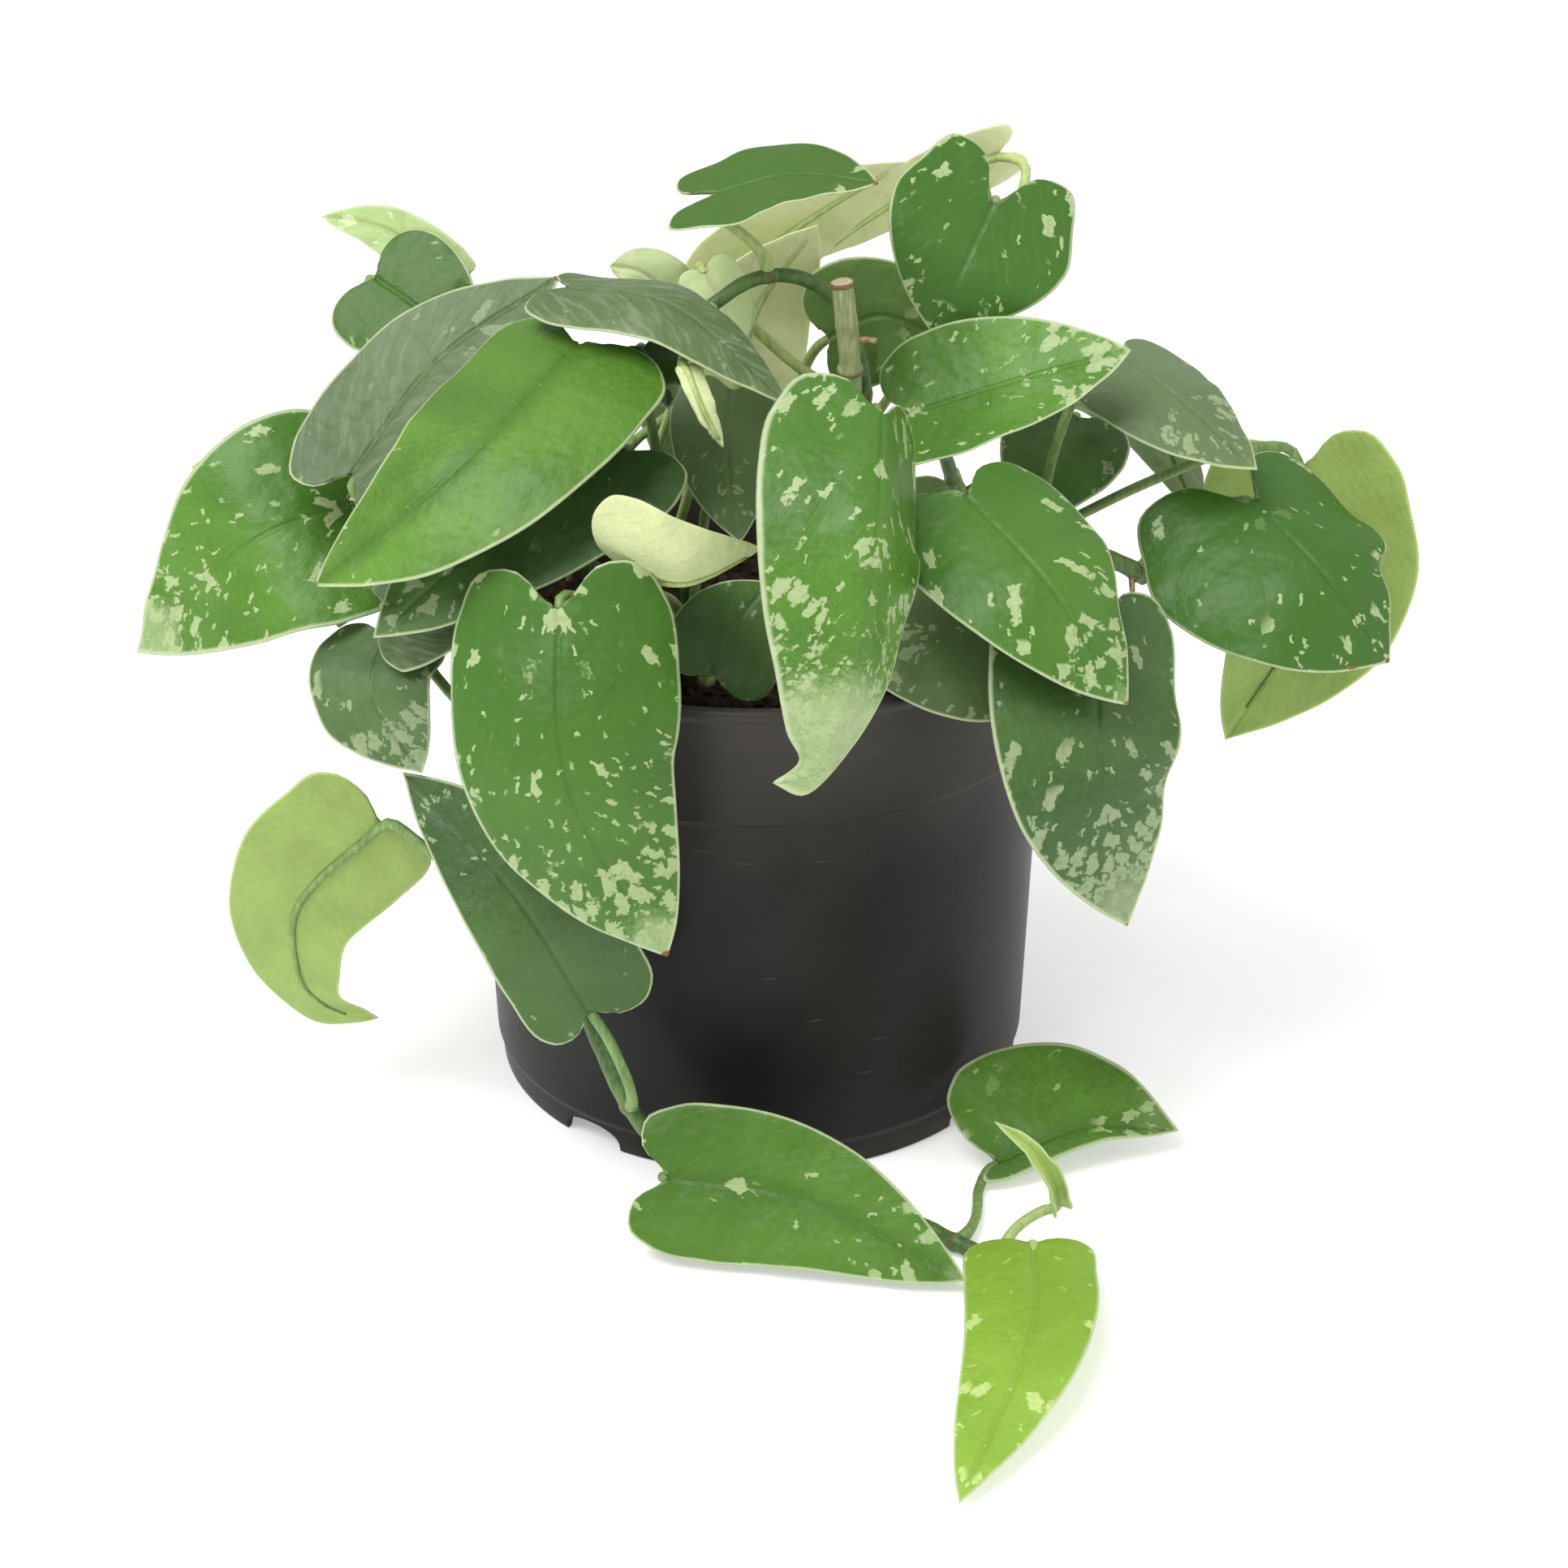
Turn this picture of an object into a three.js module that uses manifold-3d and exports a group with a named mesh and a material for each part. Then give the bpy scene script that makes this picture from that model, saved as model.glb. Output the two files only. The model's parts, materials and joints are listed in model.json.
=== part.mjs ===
// A satin pothos in a plastic nursery pot: pot, potting soil, nine vines and their leaves.
// Millimetres, +Z up, origin at the centre of the pot's underside, -Y towards the viewer.
import * as THREE from "three";
import { mergeVertices } from "three/addons/utils/BufferGeometryUtils.js";
import Module from "manifold-3d";

// ---- Driving dimensions -------------------------------------------------------------------
const CONTACT_GAP = 0.3; // left between pieces that touch

const POT_HEIGHT = 129;
const RIM_RADIUS = 75; // outside, at the lip
const BASE_RADIUS = 71; // outside of the body, just above the foot
const POT_WALL = 1.6;
const BAND_HEIGHT = 30; // the thicker band under the lip
const BAND_STEP = 0.9; // how far the band stands out from the body
const LIP_HEIGHT = 3;
const LIP_STEP = 0.8;
const FOOT_HEIGHT = 8.5;
const FOOT_INSET = 1.4; // how far the foot ring is set in from the body
const NOTCH_WIDTH = 18; // arched gaps in the foot ring
const NOTCH_HEIGHT = 6;
const NOTCH_COUNT = 4;
const NOTCH_TURN = -38; // degrees from the front to the first notch
const PAD_RADIUS = 14; // flat pad at the middle of the underside
const DRAIN_RADIUS = 4;
const DRAIN_COUNT = 8;
const DRAIN_CIRCLE = 44;
const POT_SIDES = 40;

const SOIL_DEPTH = 14; // from the lip down to the soil at the wall
const SOIL_CROWN = 3; // how much higher the soil is in the middle

// The places of vines and leaves below are written for a pot of this size.
const LAYOUT_POT_HEIGHT = 129;
const LAYOUT_RIM_RADIUS = 75;
const LAYOUT_BASE_RADIUS = 71;
const LYING_HEIGHT = 20; // what is under this lies on the surface

const LEAF_THICKNESS = 1.2; // at the midrib
const PETIOLE_RADIUS = 1.3;
const STEM_SIDES = 8;
const STEM_RISE = 6; // each vine leaves the soil upright for this far

// ---- Small helpers ------------------------------------------------------------------------
const wasm = await Module();
wasm.setup();

const vec = (p) => new THREE.Vector3(...p);
const radians = THREE.MathUtils.degToRad;

// Carries a written place to the pot as it is: what is over the rim or beyond it moves with the
// rim, what lies on the surface keeps its height and its distance from the foot, and the rest goes
// part of the way.
function seat([x, y, z]) {
  const height = THREE.MathUtils.clamp(
    (z - LYING_HEIGHT) / (LAYOUT_POT_HEIGHT - LYING_HEIGHT),
    0,
    1,
  );
  const wider = THREE.MathUtils.lerp(
    BASE_RADIUS - LAYOUT_BASE_RADIUS,
    RIM_RADIUS - LAYOUT_RIM_RADIUS,
    height,
  );
  const spread = 1 + wider / Math.max(Math.hypot(x, y), LAYOUT_RIM_RADIUS);
  return new THREE.Vector3(x * spread, y * spread, z + height * (POT_HEIGHT - LAYOUT_POT_HEIGHT));
}

function toSolid(geometry) {
  const bare = geometry.index ? geometry.toNonIndexed() : geometry.clone();
  bare.deleteAttribute("normal");
  bare.deleteAttribute("uv");
  const merged = mergeVertices(bare, 1e-4);
  return new wasm.Manifold(
    new wasm.Mesh({
      numProp: 3,
      vertProperties: merged.attributes.position.array,
      triVerts: new Uint32Array(merged.index.array),
    }),
  );
}

function toGeometry(solid) {
  const mesh = solid.getMesh();
  const geometry = new THREE.BufferGeometry();
  geometry.setAttribute("position", new THREE.BufferAttribute(mesh.vertProperties, 3));
  geometry.setIndex(new THREE.BufferAttribute(mesh.triVerts, 1));
  geometry.computeVertexNormals();
  return geometry;
}

// Eight-sided ring round a centre, starting at the side direction and turning towards up.
function circle(centre, side, up, radius) {
  return Array.from({ length: STEM_SIDES }, (_, k) => {
    const turn = (k / STEM_SIDES) * 2 * Math.PI;
    const point = centre.clone().addScaledVector(side, radius * Math.cos(turn));
    return point.addScaledVector(up, radius * Math.sin(turn));
  });
}

// Rings of equal size, skinned in order and closed by a single point at each end.
function skin(startPoint, rings, endPoint) {
  const count = rings[0].length;
  const points = [startPoint, ...rings.flat(), endPoint];
  const last = points.length - 1;
  const at = (ring, side) => 1 + ring * count + (side % count);
  const faces = [];
  for (let side = 0; side < count; side++) {
    faces.push(0, at(0, side + 1), at(0, side));
    faces.push(last, at(rings.length - 1, side), at(rings.length - 1, side + 1));
    for (let ring = 0; ring + 1 < rings.length; ring++) {
      faces.push(at(ring, side), at(ring, side + 1), at(ring + 1, side));
      faces.push(at(ring, side + 1), at(ring + 1, side + 1), at(ring + 1, side));
    }
  }
  const geometry = new THREE.BufferGeometry();
  geometry.setAttribute(
    "position",
    new THREE.Float32BufferAttribute(points.flatMap((p) => p.toArray()), 3),
  );
  geometry.setIndex(faces);
  geometry.computeVertexNormals();
  return geometry;
}

// ---- Pot ----------------------------------------------------------------------------------
const BAND_BOTTOM = POT_HEIGHT - BAND_HEIGHT;
const BODY_TOP_RADIUS = RIM_RADIUS - LIP_STEP - BAND_STEP;
const FOOT_RADIUS = BASE_RADIUS - FOOT_INSET;
const innerWall = (z) =>
  THREE.MathUtils.mapLinear(z, FOOT_HEIGHT, POT_HEIGHT, BASE_RADIUS, BODY_TOP_RADIUS) - POT_WALL;

function potShell() {
  const profile = [
    [0, 0],
    [PAD_RADIUS, 0],
    [PAD_RADIUS + POT_WALL, FOOT_HEIGHT - POT_WALL],
    [FOOT_RADIUS - 2 * POT_WALL, FOOT_HEIGHT - POT_WALL],
    [FOOT_RADIUS - POT_WALL, 0],
    [FOOT_RADIUS, 0],
    [FOOT_RADIUS + FOOT_INSET / 3, FOOT_HEIGHT - FOOT_INSET],
    [BASE_RADIUS, FOOT_HEIGHT],
    [BODY_TOP_RADIUS, BAND_BOTTOM],
    [BODY_TOP_RADIUS + BAND_STEP, BAND_BOTTOM + BAND_STEP],
    [BODY_TOP_RADIUS + BAND_STEP, POT_HEIGHT - LIP_HEIGHT],
    [RIM_RADIUS, POT_HEIGHT - LIP_HEIGHT + LIP_STEP],
    [RIM_RADIUS, POT_HEIGHT - LIP_STEP],
    [RIM_RADIUS - LIP_STEP, POT_HEIGHT],
    [innerWall(POT_HEIGHT), POT_HEIGHT],
    [innerWall(FOOT_HEIGHT), FOOT_HEIGHT],
    [PAD_RADIUS, FOOT_HEIGHT],
    [PAD_RADIUS - POT_WALL, POT_WALL],
    [0, POT_WALL],
  ];
  const lathe = new THREE.LatheGeometry(
    profile.map(([r, z]) => new THREE.Vector2(r, z)),
    POT_SIDES,
  );
  return toSolid(lathe.rotateX(Math.PI / 2));
}

// One arched gap through the foot ring, open at the bottom.
function footNotch(turn) {
  const arch = new THREE.Shape();
  arch.moveTo(-NOTCH_WIDTH / 2, -1);
  arch.lineTo(NOTCH_WIDTH / 2, -1);
  arch.lineTo(NOTCH_WIDTH / 2 - NOTCH_HEIGHT / 2, NOTCH_HEIGHT);
  arch.lineTo(-NOTCH_WIDTH / 2 + NOTCH_HEIGHT / 2, NOTCH_HEIGHT);
  const reach = 4 * POT_WALL + FOOT_INSET;
  const block = new THREE.ExtrudeGeometry(arch, { depth: reach, bevelEnabled: false });
  block.rotateX(Math.PI / 2);
  block.translate(0, -FOOT_RADIUS + reach - FOOT_INSET, 0);
  return toSolid(block.rotateZ(radians(turn)));
}

function drainHole(turn) {
  const hole = new THREE.CylinderGeometry(DRAIN_RADIUS, DRAIN_RADIUS, 4 * POT_WALL, 16);
  hole.rotateX(Math.PI / 2).translate(DRAIN_CIRCLE, 0, FOOT_HEIGHT);
  return toSolid(hole.rotateZ(radians(turn)));
}

function potGeometry() {
  let pot = potShell();
  for (let i = 0; i < NOTCH_COUNT; i++) {
    pot = pot.subtract(footNotch(NOTCH_TURN + (i * 360) / NOTCH_COUNT));
  }
  for (let i = 0; i < DRAIN_COUNT; i++) {
    pot = pot.subtract(drainHole((i * 360) / DRAIN_COUNT));
  }
  return toGeometry(pot);
}

// ---- Soil ---------------------------------------------------------------------------------
const SOIL_EDGE = POT_HEIGHT - SOIL_DEPTH;
const soilRadius = (z) => innerWall(z) - CONTACT_GAP;
const soilTop = (r) => SOIL_EDGE + SOIL_CROWN * (1 - (r / soilRadius(SOIL_EDGE)) ** 2);

function soilGeometry() {
  const bottom = FOOT_HEIGHT + CONTACT_GAP;
  const top = soilRadius(SOIL_EDGE);
  const profile = [[0, bottom], [soilRadius(bottom), bottom]];
  for (const share of [1, 0.75, 0.5, 0.25, 0]) {
    profile.push([share * top, soilTop(share * top)]);
  }
  const lathe = new THREE.LatheGeometry(
    profile.map(([r, z]) => new THREE.Vector2(r, z)),
    POT_SIDES,
  );
  return toGeometry(toSolid(lathe.rotateX(Math.PI / 2)));
}

// ---- Vines --------------------------------------------------------------------------------
// Each vine runs from the soil through its points; its first point gives only x and y.
const VINES = {
  left_vine: {
    radius: 2.2,
    path: [[-20, -6], [-34, -12, 136], [-58, -20, 150], [-84, -26, 144], [-102, -30, 134]],
  },
  trailing_vine: {
    radius: 2,
    path: [
      [-32, -26], [-44, -44, 134], [-57, -61, 136], [-62, -64, 120], [-57, -62, 100], [-51, -66, 80],
      [-45, -70, 60], [-38, -77, 41], [-28, -85, 24], [-12, -86, 10], [10, -88, 3], [36, -94, 2.5],
      [52, -107, 2.5], [66, -111, 2.5],
    ],
  },
  right_vine: {
    radius: 2.2,
    path: [[24, -8], [42, -18, 138], [66, -26, 151], [84, -30, 149], [94, -27, 143]],
  },
  top_vine: {
    radius: 1.7,
    path: [
      [16, 14], [24, 6, 150], [26, -2, 186], [18, -8, 207], [8, -11, 213], [-2, -13, 212],
      [-14, -15, 204],
    ],
  },
  stub_vine: {
    radius: 2.6,
    path: [[28, -24], [27, -12, 152], [23, -14, 178], [22, -20, 196], [20, -22, 214]],
  },
  front_left_vine: { radius: 2, path: [[-12, -26], [-22, -40, 136], [-32, -52, 146]] },
  front_right_vine: { radius: 2, path: [[12, -32], [20, -42, 133], [34, -48, 136]] },
  back_left_vine: {
    radius: 2,
    path: [[-18, 16], [-30, 34, 144], [-46, 62, 150], [-58, 84, 136], [-62, 92, 112]],
  },
  back_right_vine: {
    radius: 2,
    path: [[10, 24], [24, 42, 146], [40, 66, 152], [52, 84, 138], [58, 92, 116]],
  },
};

function vineCurve({ path }) {
  const [start, ...rest] = path;
  const foot = seat([...start, LAYOUT_POT_HEIGHT]);
  foot.z = soilTop(Math.hypot(foot.x, foot.y)) + 2 * CONTACT_GAP;
  const above = foot.clone().setZ(foot.z + STEM_RISE);
  return new THREE.CatmullRomCurve3([foot, above, ...rest.map(seat)], false, "centripetal");
}

// A round stem skinned along a curve, with a blunt end of its own radius.
function stemGeometry(curve, radius, step = 7) {
  const count = Math.max(4, Math.round(curve.getLength() / step));
  const rings = [];
  let side = new THREE.Vector3(1, 0, 0);
  for (let i = 0; i <= count; i++) {
    const centre = curve.getPointAt(i / count);
    const along = curve.getTangentAt(i / count);
    side = side.addScaledVector(along, -side.dot(along)).normalize().clone();
    const up = new THREE.Vector3().crossVectors(along, side);
    rings.push(circle(centre, side, up, radius));
  }
  const cap = (u, sign) =>
    curve.getPointAt(u).addScaledVector(curve.getTangentAt(u), sign * CONTACT_GAP);
  return skin(cap(0, -1), rings, cap(1, 1));
}

// ---- Leaves -------------------------------------------------------------------------------
// Half of a heart-shaped blade, from the notch round the lobe to the tip. Each row joins a
// point of the midrib to a point of the margin: how far out (share of the half width), how far
// along (share of the length; lobes reach back past the notch) and where on the midrib.
const BLADE_ROWS = [
  { out: 0.07, along: 0, rib: 0 },
  { out: 0.34, along: -0.8, rib: 0.01 },
  { out: 0.66, along: -0.85, rib: 0.03 },
  { out: 0.9, along: -0.1, rib: 0.08 },
  { out: 1, along: 0.16, rib: 0.17 },
  { out: 0.97, along: 0.34, rib: 0.3 },
  { out: 0.85, along: 0.52, rib: 0.45 },
  { out: 0.65, along: 0.69, rib: 0.6 },
  { out: 0.4, along: 0.84, rib: 0.75 },
  { out: 0.17, along: 0.94, rib: 0.89 },
];

// Turns flat blade coordinates into space: x across, y along from the notch.
class Blade {
  constructor({ rib, face, width, fold = 0, cup = 0, twist = 0, lobe = 0.12, lean = 0, taper = 0 }) {
    this.curve = new THREE.CatmullRomCurve3(rib.map(seat), false, "centripetal");
    this.length = this.curve.getLength();
    this.halfWidth = width / 2;
    this.face = vec(face).normalize();
    this.fold = radians(fold);
    this.cup = radians(cup) / this.halfWidth;
    this.twist = radians(twist);
    this.lobe = lobe;
    this.lean = lean;
    this.taper = taper;
  }

  frameAt(share) {
    const u = THREE.MathUtils.clamp(share, 0, 1);
    const along = this.curve.getTangentAt(u);
    const origin = this.curve.getPointAt(u);
    if (share < 0) origin.addScaledVector(along, share * this.length);
    const up = this.face.clone().addScaledVector(along, -this.face.dot(along)).normalize();
    up.applyAxisAngle(along, this.twist * u);
    const side = new THREE.Vector3().crossVectors(along, up);
    return { origin, along, up, side };
  }

  // depth is measured down from the upper side
  point(out, share, depth) {
    const { origin, up, side } = this.frameAt(share);
    const reach = Math.abs(out) * this.halfWidth;
    const turn = this.fold + this.cup * reach;
    let across = reach * Math.cos(this.fold);
    let rise = reach * Math.sin(this.fold);
    if (Math.abs(this.cup) > 1e-6) {
      across = (Math.sin(turn) - Math.sin(this.fold)) / this.cup;
      rise = (Math.cos(this.fold) - Math.cos(turn)) / this.cup;
    }
    const sign = Math.sign(out);
    const slope = out === 0 ? 0 : turn;
    return origin
      .addScaledVector(side, sign * (across + depth * Math.sin(slope)))
      .addScaledVector(up, rise - depth * Math.cos(slope));
  }

  // Eight points: margin, over the upper side to the other margin, and back underneath.
  ring({ out, along, rib }) {
    const margin = along < 0 ? along * this.lobe : along;
    const breadth = out * (1 - this.taper * Math.max(along, 0));
    const at = (side, depth) =>
      this.point(
        side * breadth * (1 + Math.sign(side) * this.lean),
        rib + (margin - rib) * Math.abs(side) ** 1.3,
        depth * LEAF_THICKNESS,
      );
    return [
      at(-1, 0.35), at(-0.5, 0), at(0, 0), at(0.5, 0),
      at(1, 0.35), at(0.5, 0.8), at(0, 1), at(-0.5, 0.8),
    ];
  }
}

// The leaf stalk: rings that start at the vine and turn into the blade's first ring.
function petioleRings(blade, foot, away, stemRadius) {
  const { origin, along, up } = blade.frameAt(0);
  const end = origin.clone().addScaledVector(up, -LEAF_THICKNESS / 2);
  const span = foot.distanceTo(end);
  const start = foot.clone().addScaledVector(away, stemRadius + CONTACT_GAP);
  const arrive = along.clone().multiplyScalar(0.8).addScaledVector(up, 0.6).normalize();
  const curve = new THREE.CubicBezierCurve3(
    start,
    start.clone().addScaledVector(away, span * 0.35),
    end.clone().addScaledVector(arrive, -span * 0.35),
    end,
  );
  const rings = [];
  let top = up.clone();
  for (const u of [0.93, 0.72, 0.48, 0.24, 0.04]) {
    const centre = curve.getPointAt(u);
    const way = curve.getTangentAt(u);
    top = top.addScaledVector(way, -top.dot(way)).normalize().clone();
    const left = new THREE.Vector3().crossVectors(top, way);
    rings.unshift(circle(centre, left, top, PETIOLE_RADIUS));
  }
  return { start, rings };
}

function leafGeometry(spec, curves) {
  const blade = new Blade(spec);
  const [vine, share] = spec.on;
  const foot = curves[vine].getPointAt(share);
  const stemWay = curves[vine].getTangentAt(share);
  const { origin } = blade.frameAt(0);
  const away = origin.clone().sub(foot);
  away.addScaledVector(stemWay, -away.dot(stemWay)).normalize();
  const stalk = petioleRings(blade, foot, away, VINES[vine].radius);
  const rings = [...stalk.rings, ...BLADE_ROWS.map((row) => blade.ring(row))];
  const tip = blade.point(0, 1, LEAF_THICKNESS / 3);
  return skin(stalk.start, rings, tip);
}

// on: the vine and how far along it the stalk leaves. rib: notch, middle and tip of the midrib.
// face: the way the upper side looks. width: across the blade. lean makes the half on the right
// of the tip wider. taper narrows the far end. lobe: how far the lobes reach back. fold and cup
// (degrees) raise both margins, or drop them.
const LEAVES = {
  // over the rim at the front
  front_left_leaf: {
    on: ["front_left_vine", 0.9], rib: [[-44, -82, 158], [-42, -100, 125], [-21, -92, 75]],
    face: [-0.1, -0.9, 0.45], width: 56, fold: -4, cup: -30, tone: "spotted",
  },
  front_centre_leaf: {
    on: ["stub_vine", 0.5],
    rib: [[28, -66, 197], [26, -92, 180], [21, -103, 147], [12, -101, 126], [3, -99, 123]],
    face: [0.5, -0.75, 0.4], width: 54, fold: -30, cup: -10, tone: "spotted",
  },
  front_right_leaf: {
    on: ["front_right_vine", 0.6], rib: [[47.5, -54, 174], [65.5, -81, 161], [82.5, -87, 136]],
    face: [0.1, -0.6, 0.8], width: 46, fold: -4, cup: -20, tone: "spotted",
  },
  front_under_leaf: {
    on: ["front_right_vine", 0.95], rib: [[54, -56, 143], [38, -62, 142], [22, -62, 136]],
    face: [0, -0.6, 0.8], width: 46, cup: -30, tone: "dark",
  },
  centre_shade_leaf: {
    on: ["front_left_vine", 0.35], rib: [[-6, 6, 180], [-7, -19, 170], [-4, -37, 156]],
    face: [0.2, -0.8, 0.6], width: 29, fold: -10, cup: -10, tone: "dark",
  },
  centre_low_leaf: {
    on: ["front_left_vine", 0.5], rib: [[-10, -62, 133], [-5, -57, 143], [3, -52, 152]],
    face: [0.1, -0.9, 0.4], width: 28, tone: "dark",
  },
  centre_curled_leaf: {
    on: ["front_left_vine", 0.6], rib: [[-31, -66, 163], [-17, -73, 161], [1, -68, 167]],
    face: [0, 0.6, 0.8], width: 44, cup: 75, tone: "pale",
  },
  // right side
  upper_right_leaf: {
    on: ["stub_vine", 0.45], rib: [[36, -20, 182], [60, -26, 192], [87, -28, 200]],
    face: [0.1, -0.6, 0.8], width: 38, fold: 4, cup: 20, tone: "spotted",
  },
  right_drooping_leaf: {
    on: ["right_vine", 0.97], rib: [[119, -25, 162], [134, -48, 150], [149, -52, 131]],
    face: [0.2, -0.7, 0.7], width: 64, lean: 0.1, lobe: 0.3, fold: -6, cup: -30, tone: "spotted",
  },
  right_shoulder_leaf: {
    on: ["right_vine", 0.68], rib: [[88, -4, 192], [100, -20, 186], [118, -32, 172]],
    face: [0.2, -0.5, 0.85], width: 36, fold: -6, cup: -20, tone: "dark",
  },
  right_back_leaf: {
    on: ["right_vine", 0.6], rib: [[138, 12, 158], [144, 10, 126], [122, 2, 86]],
    face: [0.2, 0.8, 0.3], width: 54, fold: -4, cup: -20, tone: "lime",
  },
  right_hanging_leaf: {
    on: ["right_vine", 0.6], rib: [[77, -66, 148], [77, -88, 122], [86, -84, 78]],
    face: [0.3, -0.9, 0.35], width: 50, fold: -4, cup: -20, tone: "dark",
  },
  right_inner_leaf: {
    on: ["right_vine", 0.35], rib: [[80, 8, 172], [72, -6, 163], [66, -16, 152]],
    face: [0.1, -0.7, 0.7], width: 32, tone: "dark",
  },
  // left side
  left_broad_leaf: {
    on: ["left_vine", 0.38], rib: [[-41, -28, 202], [-67, -62, 183], [-100, -66, 157]],
    face: [-0.3, -0.6, 0.75], width: 54, lobe: 0.06, cup: -20, tone: "green",
  },
  left_arching_leaf: {
    on: ["left_vine", 0.24], rib: [[-44, -16, 212], [-20, -30, 212], [8, -44, 192]],
    face: [0.1, -0.3, 1], width: 28, cup: -30, tone: "grey",
  },
  left_grey_leaf: {
    on: ["left_vine", 0.55], rib: [[-95, -33, 172], [-76, -11, 193], [-47, 1, 210]],
    face: [-0.3, -0.7, 0.6], width: 38, cup: 10, tone: "grey",
  },
  left_back_leaf: {
    on: ["left_vine", 0.42], rib: [[-95, 26, 203], [-83, 18, 197], [-70, 12, 186]],
    face: [-0.2, -0.7, 0.7], width: 36, tone: "green",
  },
  left_crown_leaf: {
    on: ["back_left_vine", 0.3], rib: [[-77, 36, 201], [-95, 44, 211], [-111, 48, 213]],
    face: [-0.1, -0.8, 0.5], width: 15, tone: "pale",
  },
  left_wide_leaf: {
    on: ["left_vine", 0.85], rib: [[-98, -20, 160], [-119, -30, 155], [-153, -22, 122]],
    face: [-0.3, -0.8, 0.5], width: 60, taper: 0.3, tone: "spotted",
  },
  left_far_leaf: {
    on: ["left_vine", 0.7], rib: [[-104, 14, 154], [-124, 18, 157], [-143, 14, 158]],
    face: [0, 0.8, 0.6], width: 30, tone: "pale",
  },
  left_under_leaf: {
    on: ["left_vine", 0.6], rib: [[-31, -38, 180], [-57, -59, 169], [-87, -70, 146]],
    face: [-0.1, -0.7, 0.7], width: 42, tone: "dark",
  },
  left_veined_leaf: {
    on: ["left_vine", 0.75], rib: [[-87, -50, 146], [-73, -56, 155], [-55, -46, 163]],
    face: [-0.1, -0.8, 0.6], width: 36, tone: "grey",
  },
  left_small_leaf: {
    on: ["trailing_vine", 0.24], rib: [[-88, -44, 136], [-90, -58, 127], [-79, -62, 108]],
    face: [-0.3, -0.85, 0.4], width: 34, tone: "dark",
  },
  left_hanging_leaf: {
    on: ["trailing_vine", 0.42], rib: [[-91, -50, 89], [-115, -44, 61], [-112, -40, 33], [-98, -36, 26]],
    face: [0.3, 0.8, 0.2], width: 38, lean: -0.12, lobe: 0.05, tone: "lime",
  },
  left_upturned_leaf: {
    on: ["trailing_vine", 0.6], rib: [[-40, -85, 56], [-56, -82, 85], [-84, -59, 107]],
    face: [-0.2, -0.85, 0.5], width: 34, lean: 0.1, lobe: 0.06, tone: "dark",
  },
  // on the surface the pot stands on
  floor_front_leaf: {
    on: ["trailing_vine", 0.765], rib: [[-22, -99, 19], [9, -105, 17], [48, -120, 4]],
    face: [0.1, -0.85, 0.55], width: 38, taper: 0.12, tone: "green",
  },
  floor_right_leaf: {
    on: ["trailing_vine", 0.925], rib: [[59, -74, 6], [82, -66, 11], [106, -62, 7]],
    face: [0, -0.5, 0.85], width: 34, lean: -0.65, tone: "green",
  },
  floor_lime_leaf: {
    on: ["trailing_vine", 0.99], rib: [[64, -113, 10], [60, -150, 13], [41, -194, 3]],
    face: [-0.1, -0.2, 1], width: 31, lean: 0.08, lobe: 0.03, cup: -10, tone: "lime",
  },
  // crown
  crown_flat_leaf: {
    on: ["top_vine", 0.85], rib: [[-9, -12, 233], [8, -15, 238], [28, -24, 238]],
    face: [0, -0.3, 0.95], width: 32, lobe: 0.32, tone: "green",
  },
  crown_heart_leaf: {
    on: ["stub_vine", 0.55], rib: [[57, 6, 226], [49, -6, 213], [42, -8, 198]],
    face: [0.1, -0.85, 0.5], width: 46, lobe: 0.4, tone: "spotted",
  },
  crown_pale_leaf: {
    on: ["back_left_vine", 0.3], rib: [[-9, 29, 201], [14, 31, 217], [37, 33, 230]],
    face: [-0.2, 0.9, 0.4], width: 28, tone: "pale",
  },
  crown_long_leaf: {
    on: ["back_right_vine", 0.3], rib: [[61, 43, 230], [38, 45, 219], [14, 43, 203]],
    face: [-0.2, 0.9, 0.4], width: 20, tone: "pale",
  },
  crown_veil_leaf: {
    on: ["top_vine", 0.3], rib: [[-6, 22, 173], [0, 24, 195], [15, 18, 218]],
    face: [-0.2, 0.9, 0.3], width: 34, tone: "pale",
  },
  crown_shoot_leaf: {
    on: ["back_left_vine", 0.15], rib: [[-20, 6, 203], [-28, 4, 210], [-35, 2, 212]],
    face: [-0.2, -0.8, 0.4], width: 16, tone: "pale",
  },
  crown_lobe_leaf: {
    on: ["top_vine", 0.5], rib: [[-12, 0, 211], [-7, -4, 203], [-5, -8, 192]],
    face: [0.2, -0.9, 0.3], width: 16, tone: "pale",
  },
  crown_dark_leaf: {
    on: ["back_right_vine", 0.12], rib: [[18, 13, 191], [30, 11, 197], [46, 9, 192]],
    face: [0.1, -0.9, 0.4], width: 32, tone: "dark",
  },
  centre_round_leaf: {
    on: ["left_vine", 0.2], rib: [[-26.3, -17.8, 198], [-22.3, -25.8, 193], [-20.3, -28.8, 186]],
    face: [0.2, -0.9, 0.3], width: 15, tone: "dark",
  },
  rolled_bud: {
    on: ["top_vine", 0.97], rib: [[-16.5, -38, 199], [-12.5, -45, 192], [-7.5, -50, 184]],
    face: [0.2, -0.9, 0.3], width: 13, lobe: 0, cup: 140, tone: "pale",
  },
  rolled_spike: {
    on: ["trailing_vine", 0.97], rib: [[71, -104, 13], [68, -110, 26], [61, -112, 37], [54, -111, 42]],
    face: [0.2, -0.9, 0.3], width: 6, lobe: 0, cup: 100, tone: "lime",
  },
  // back
  back_upper_left_leaf: {
    on: ["back_left_vine", 0.55], rib: [[-50, 60, 176], [-70, 78, 166], [-88, 92, 142]],
    face: [-0.3, 0.7, 0.6], width: 46, cup: -20, tone: "grey",
  },
  back_upper_right_leaf: {
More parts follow.
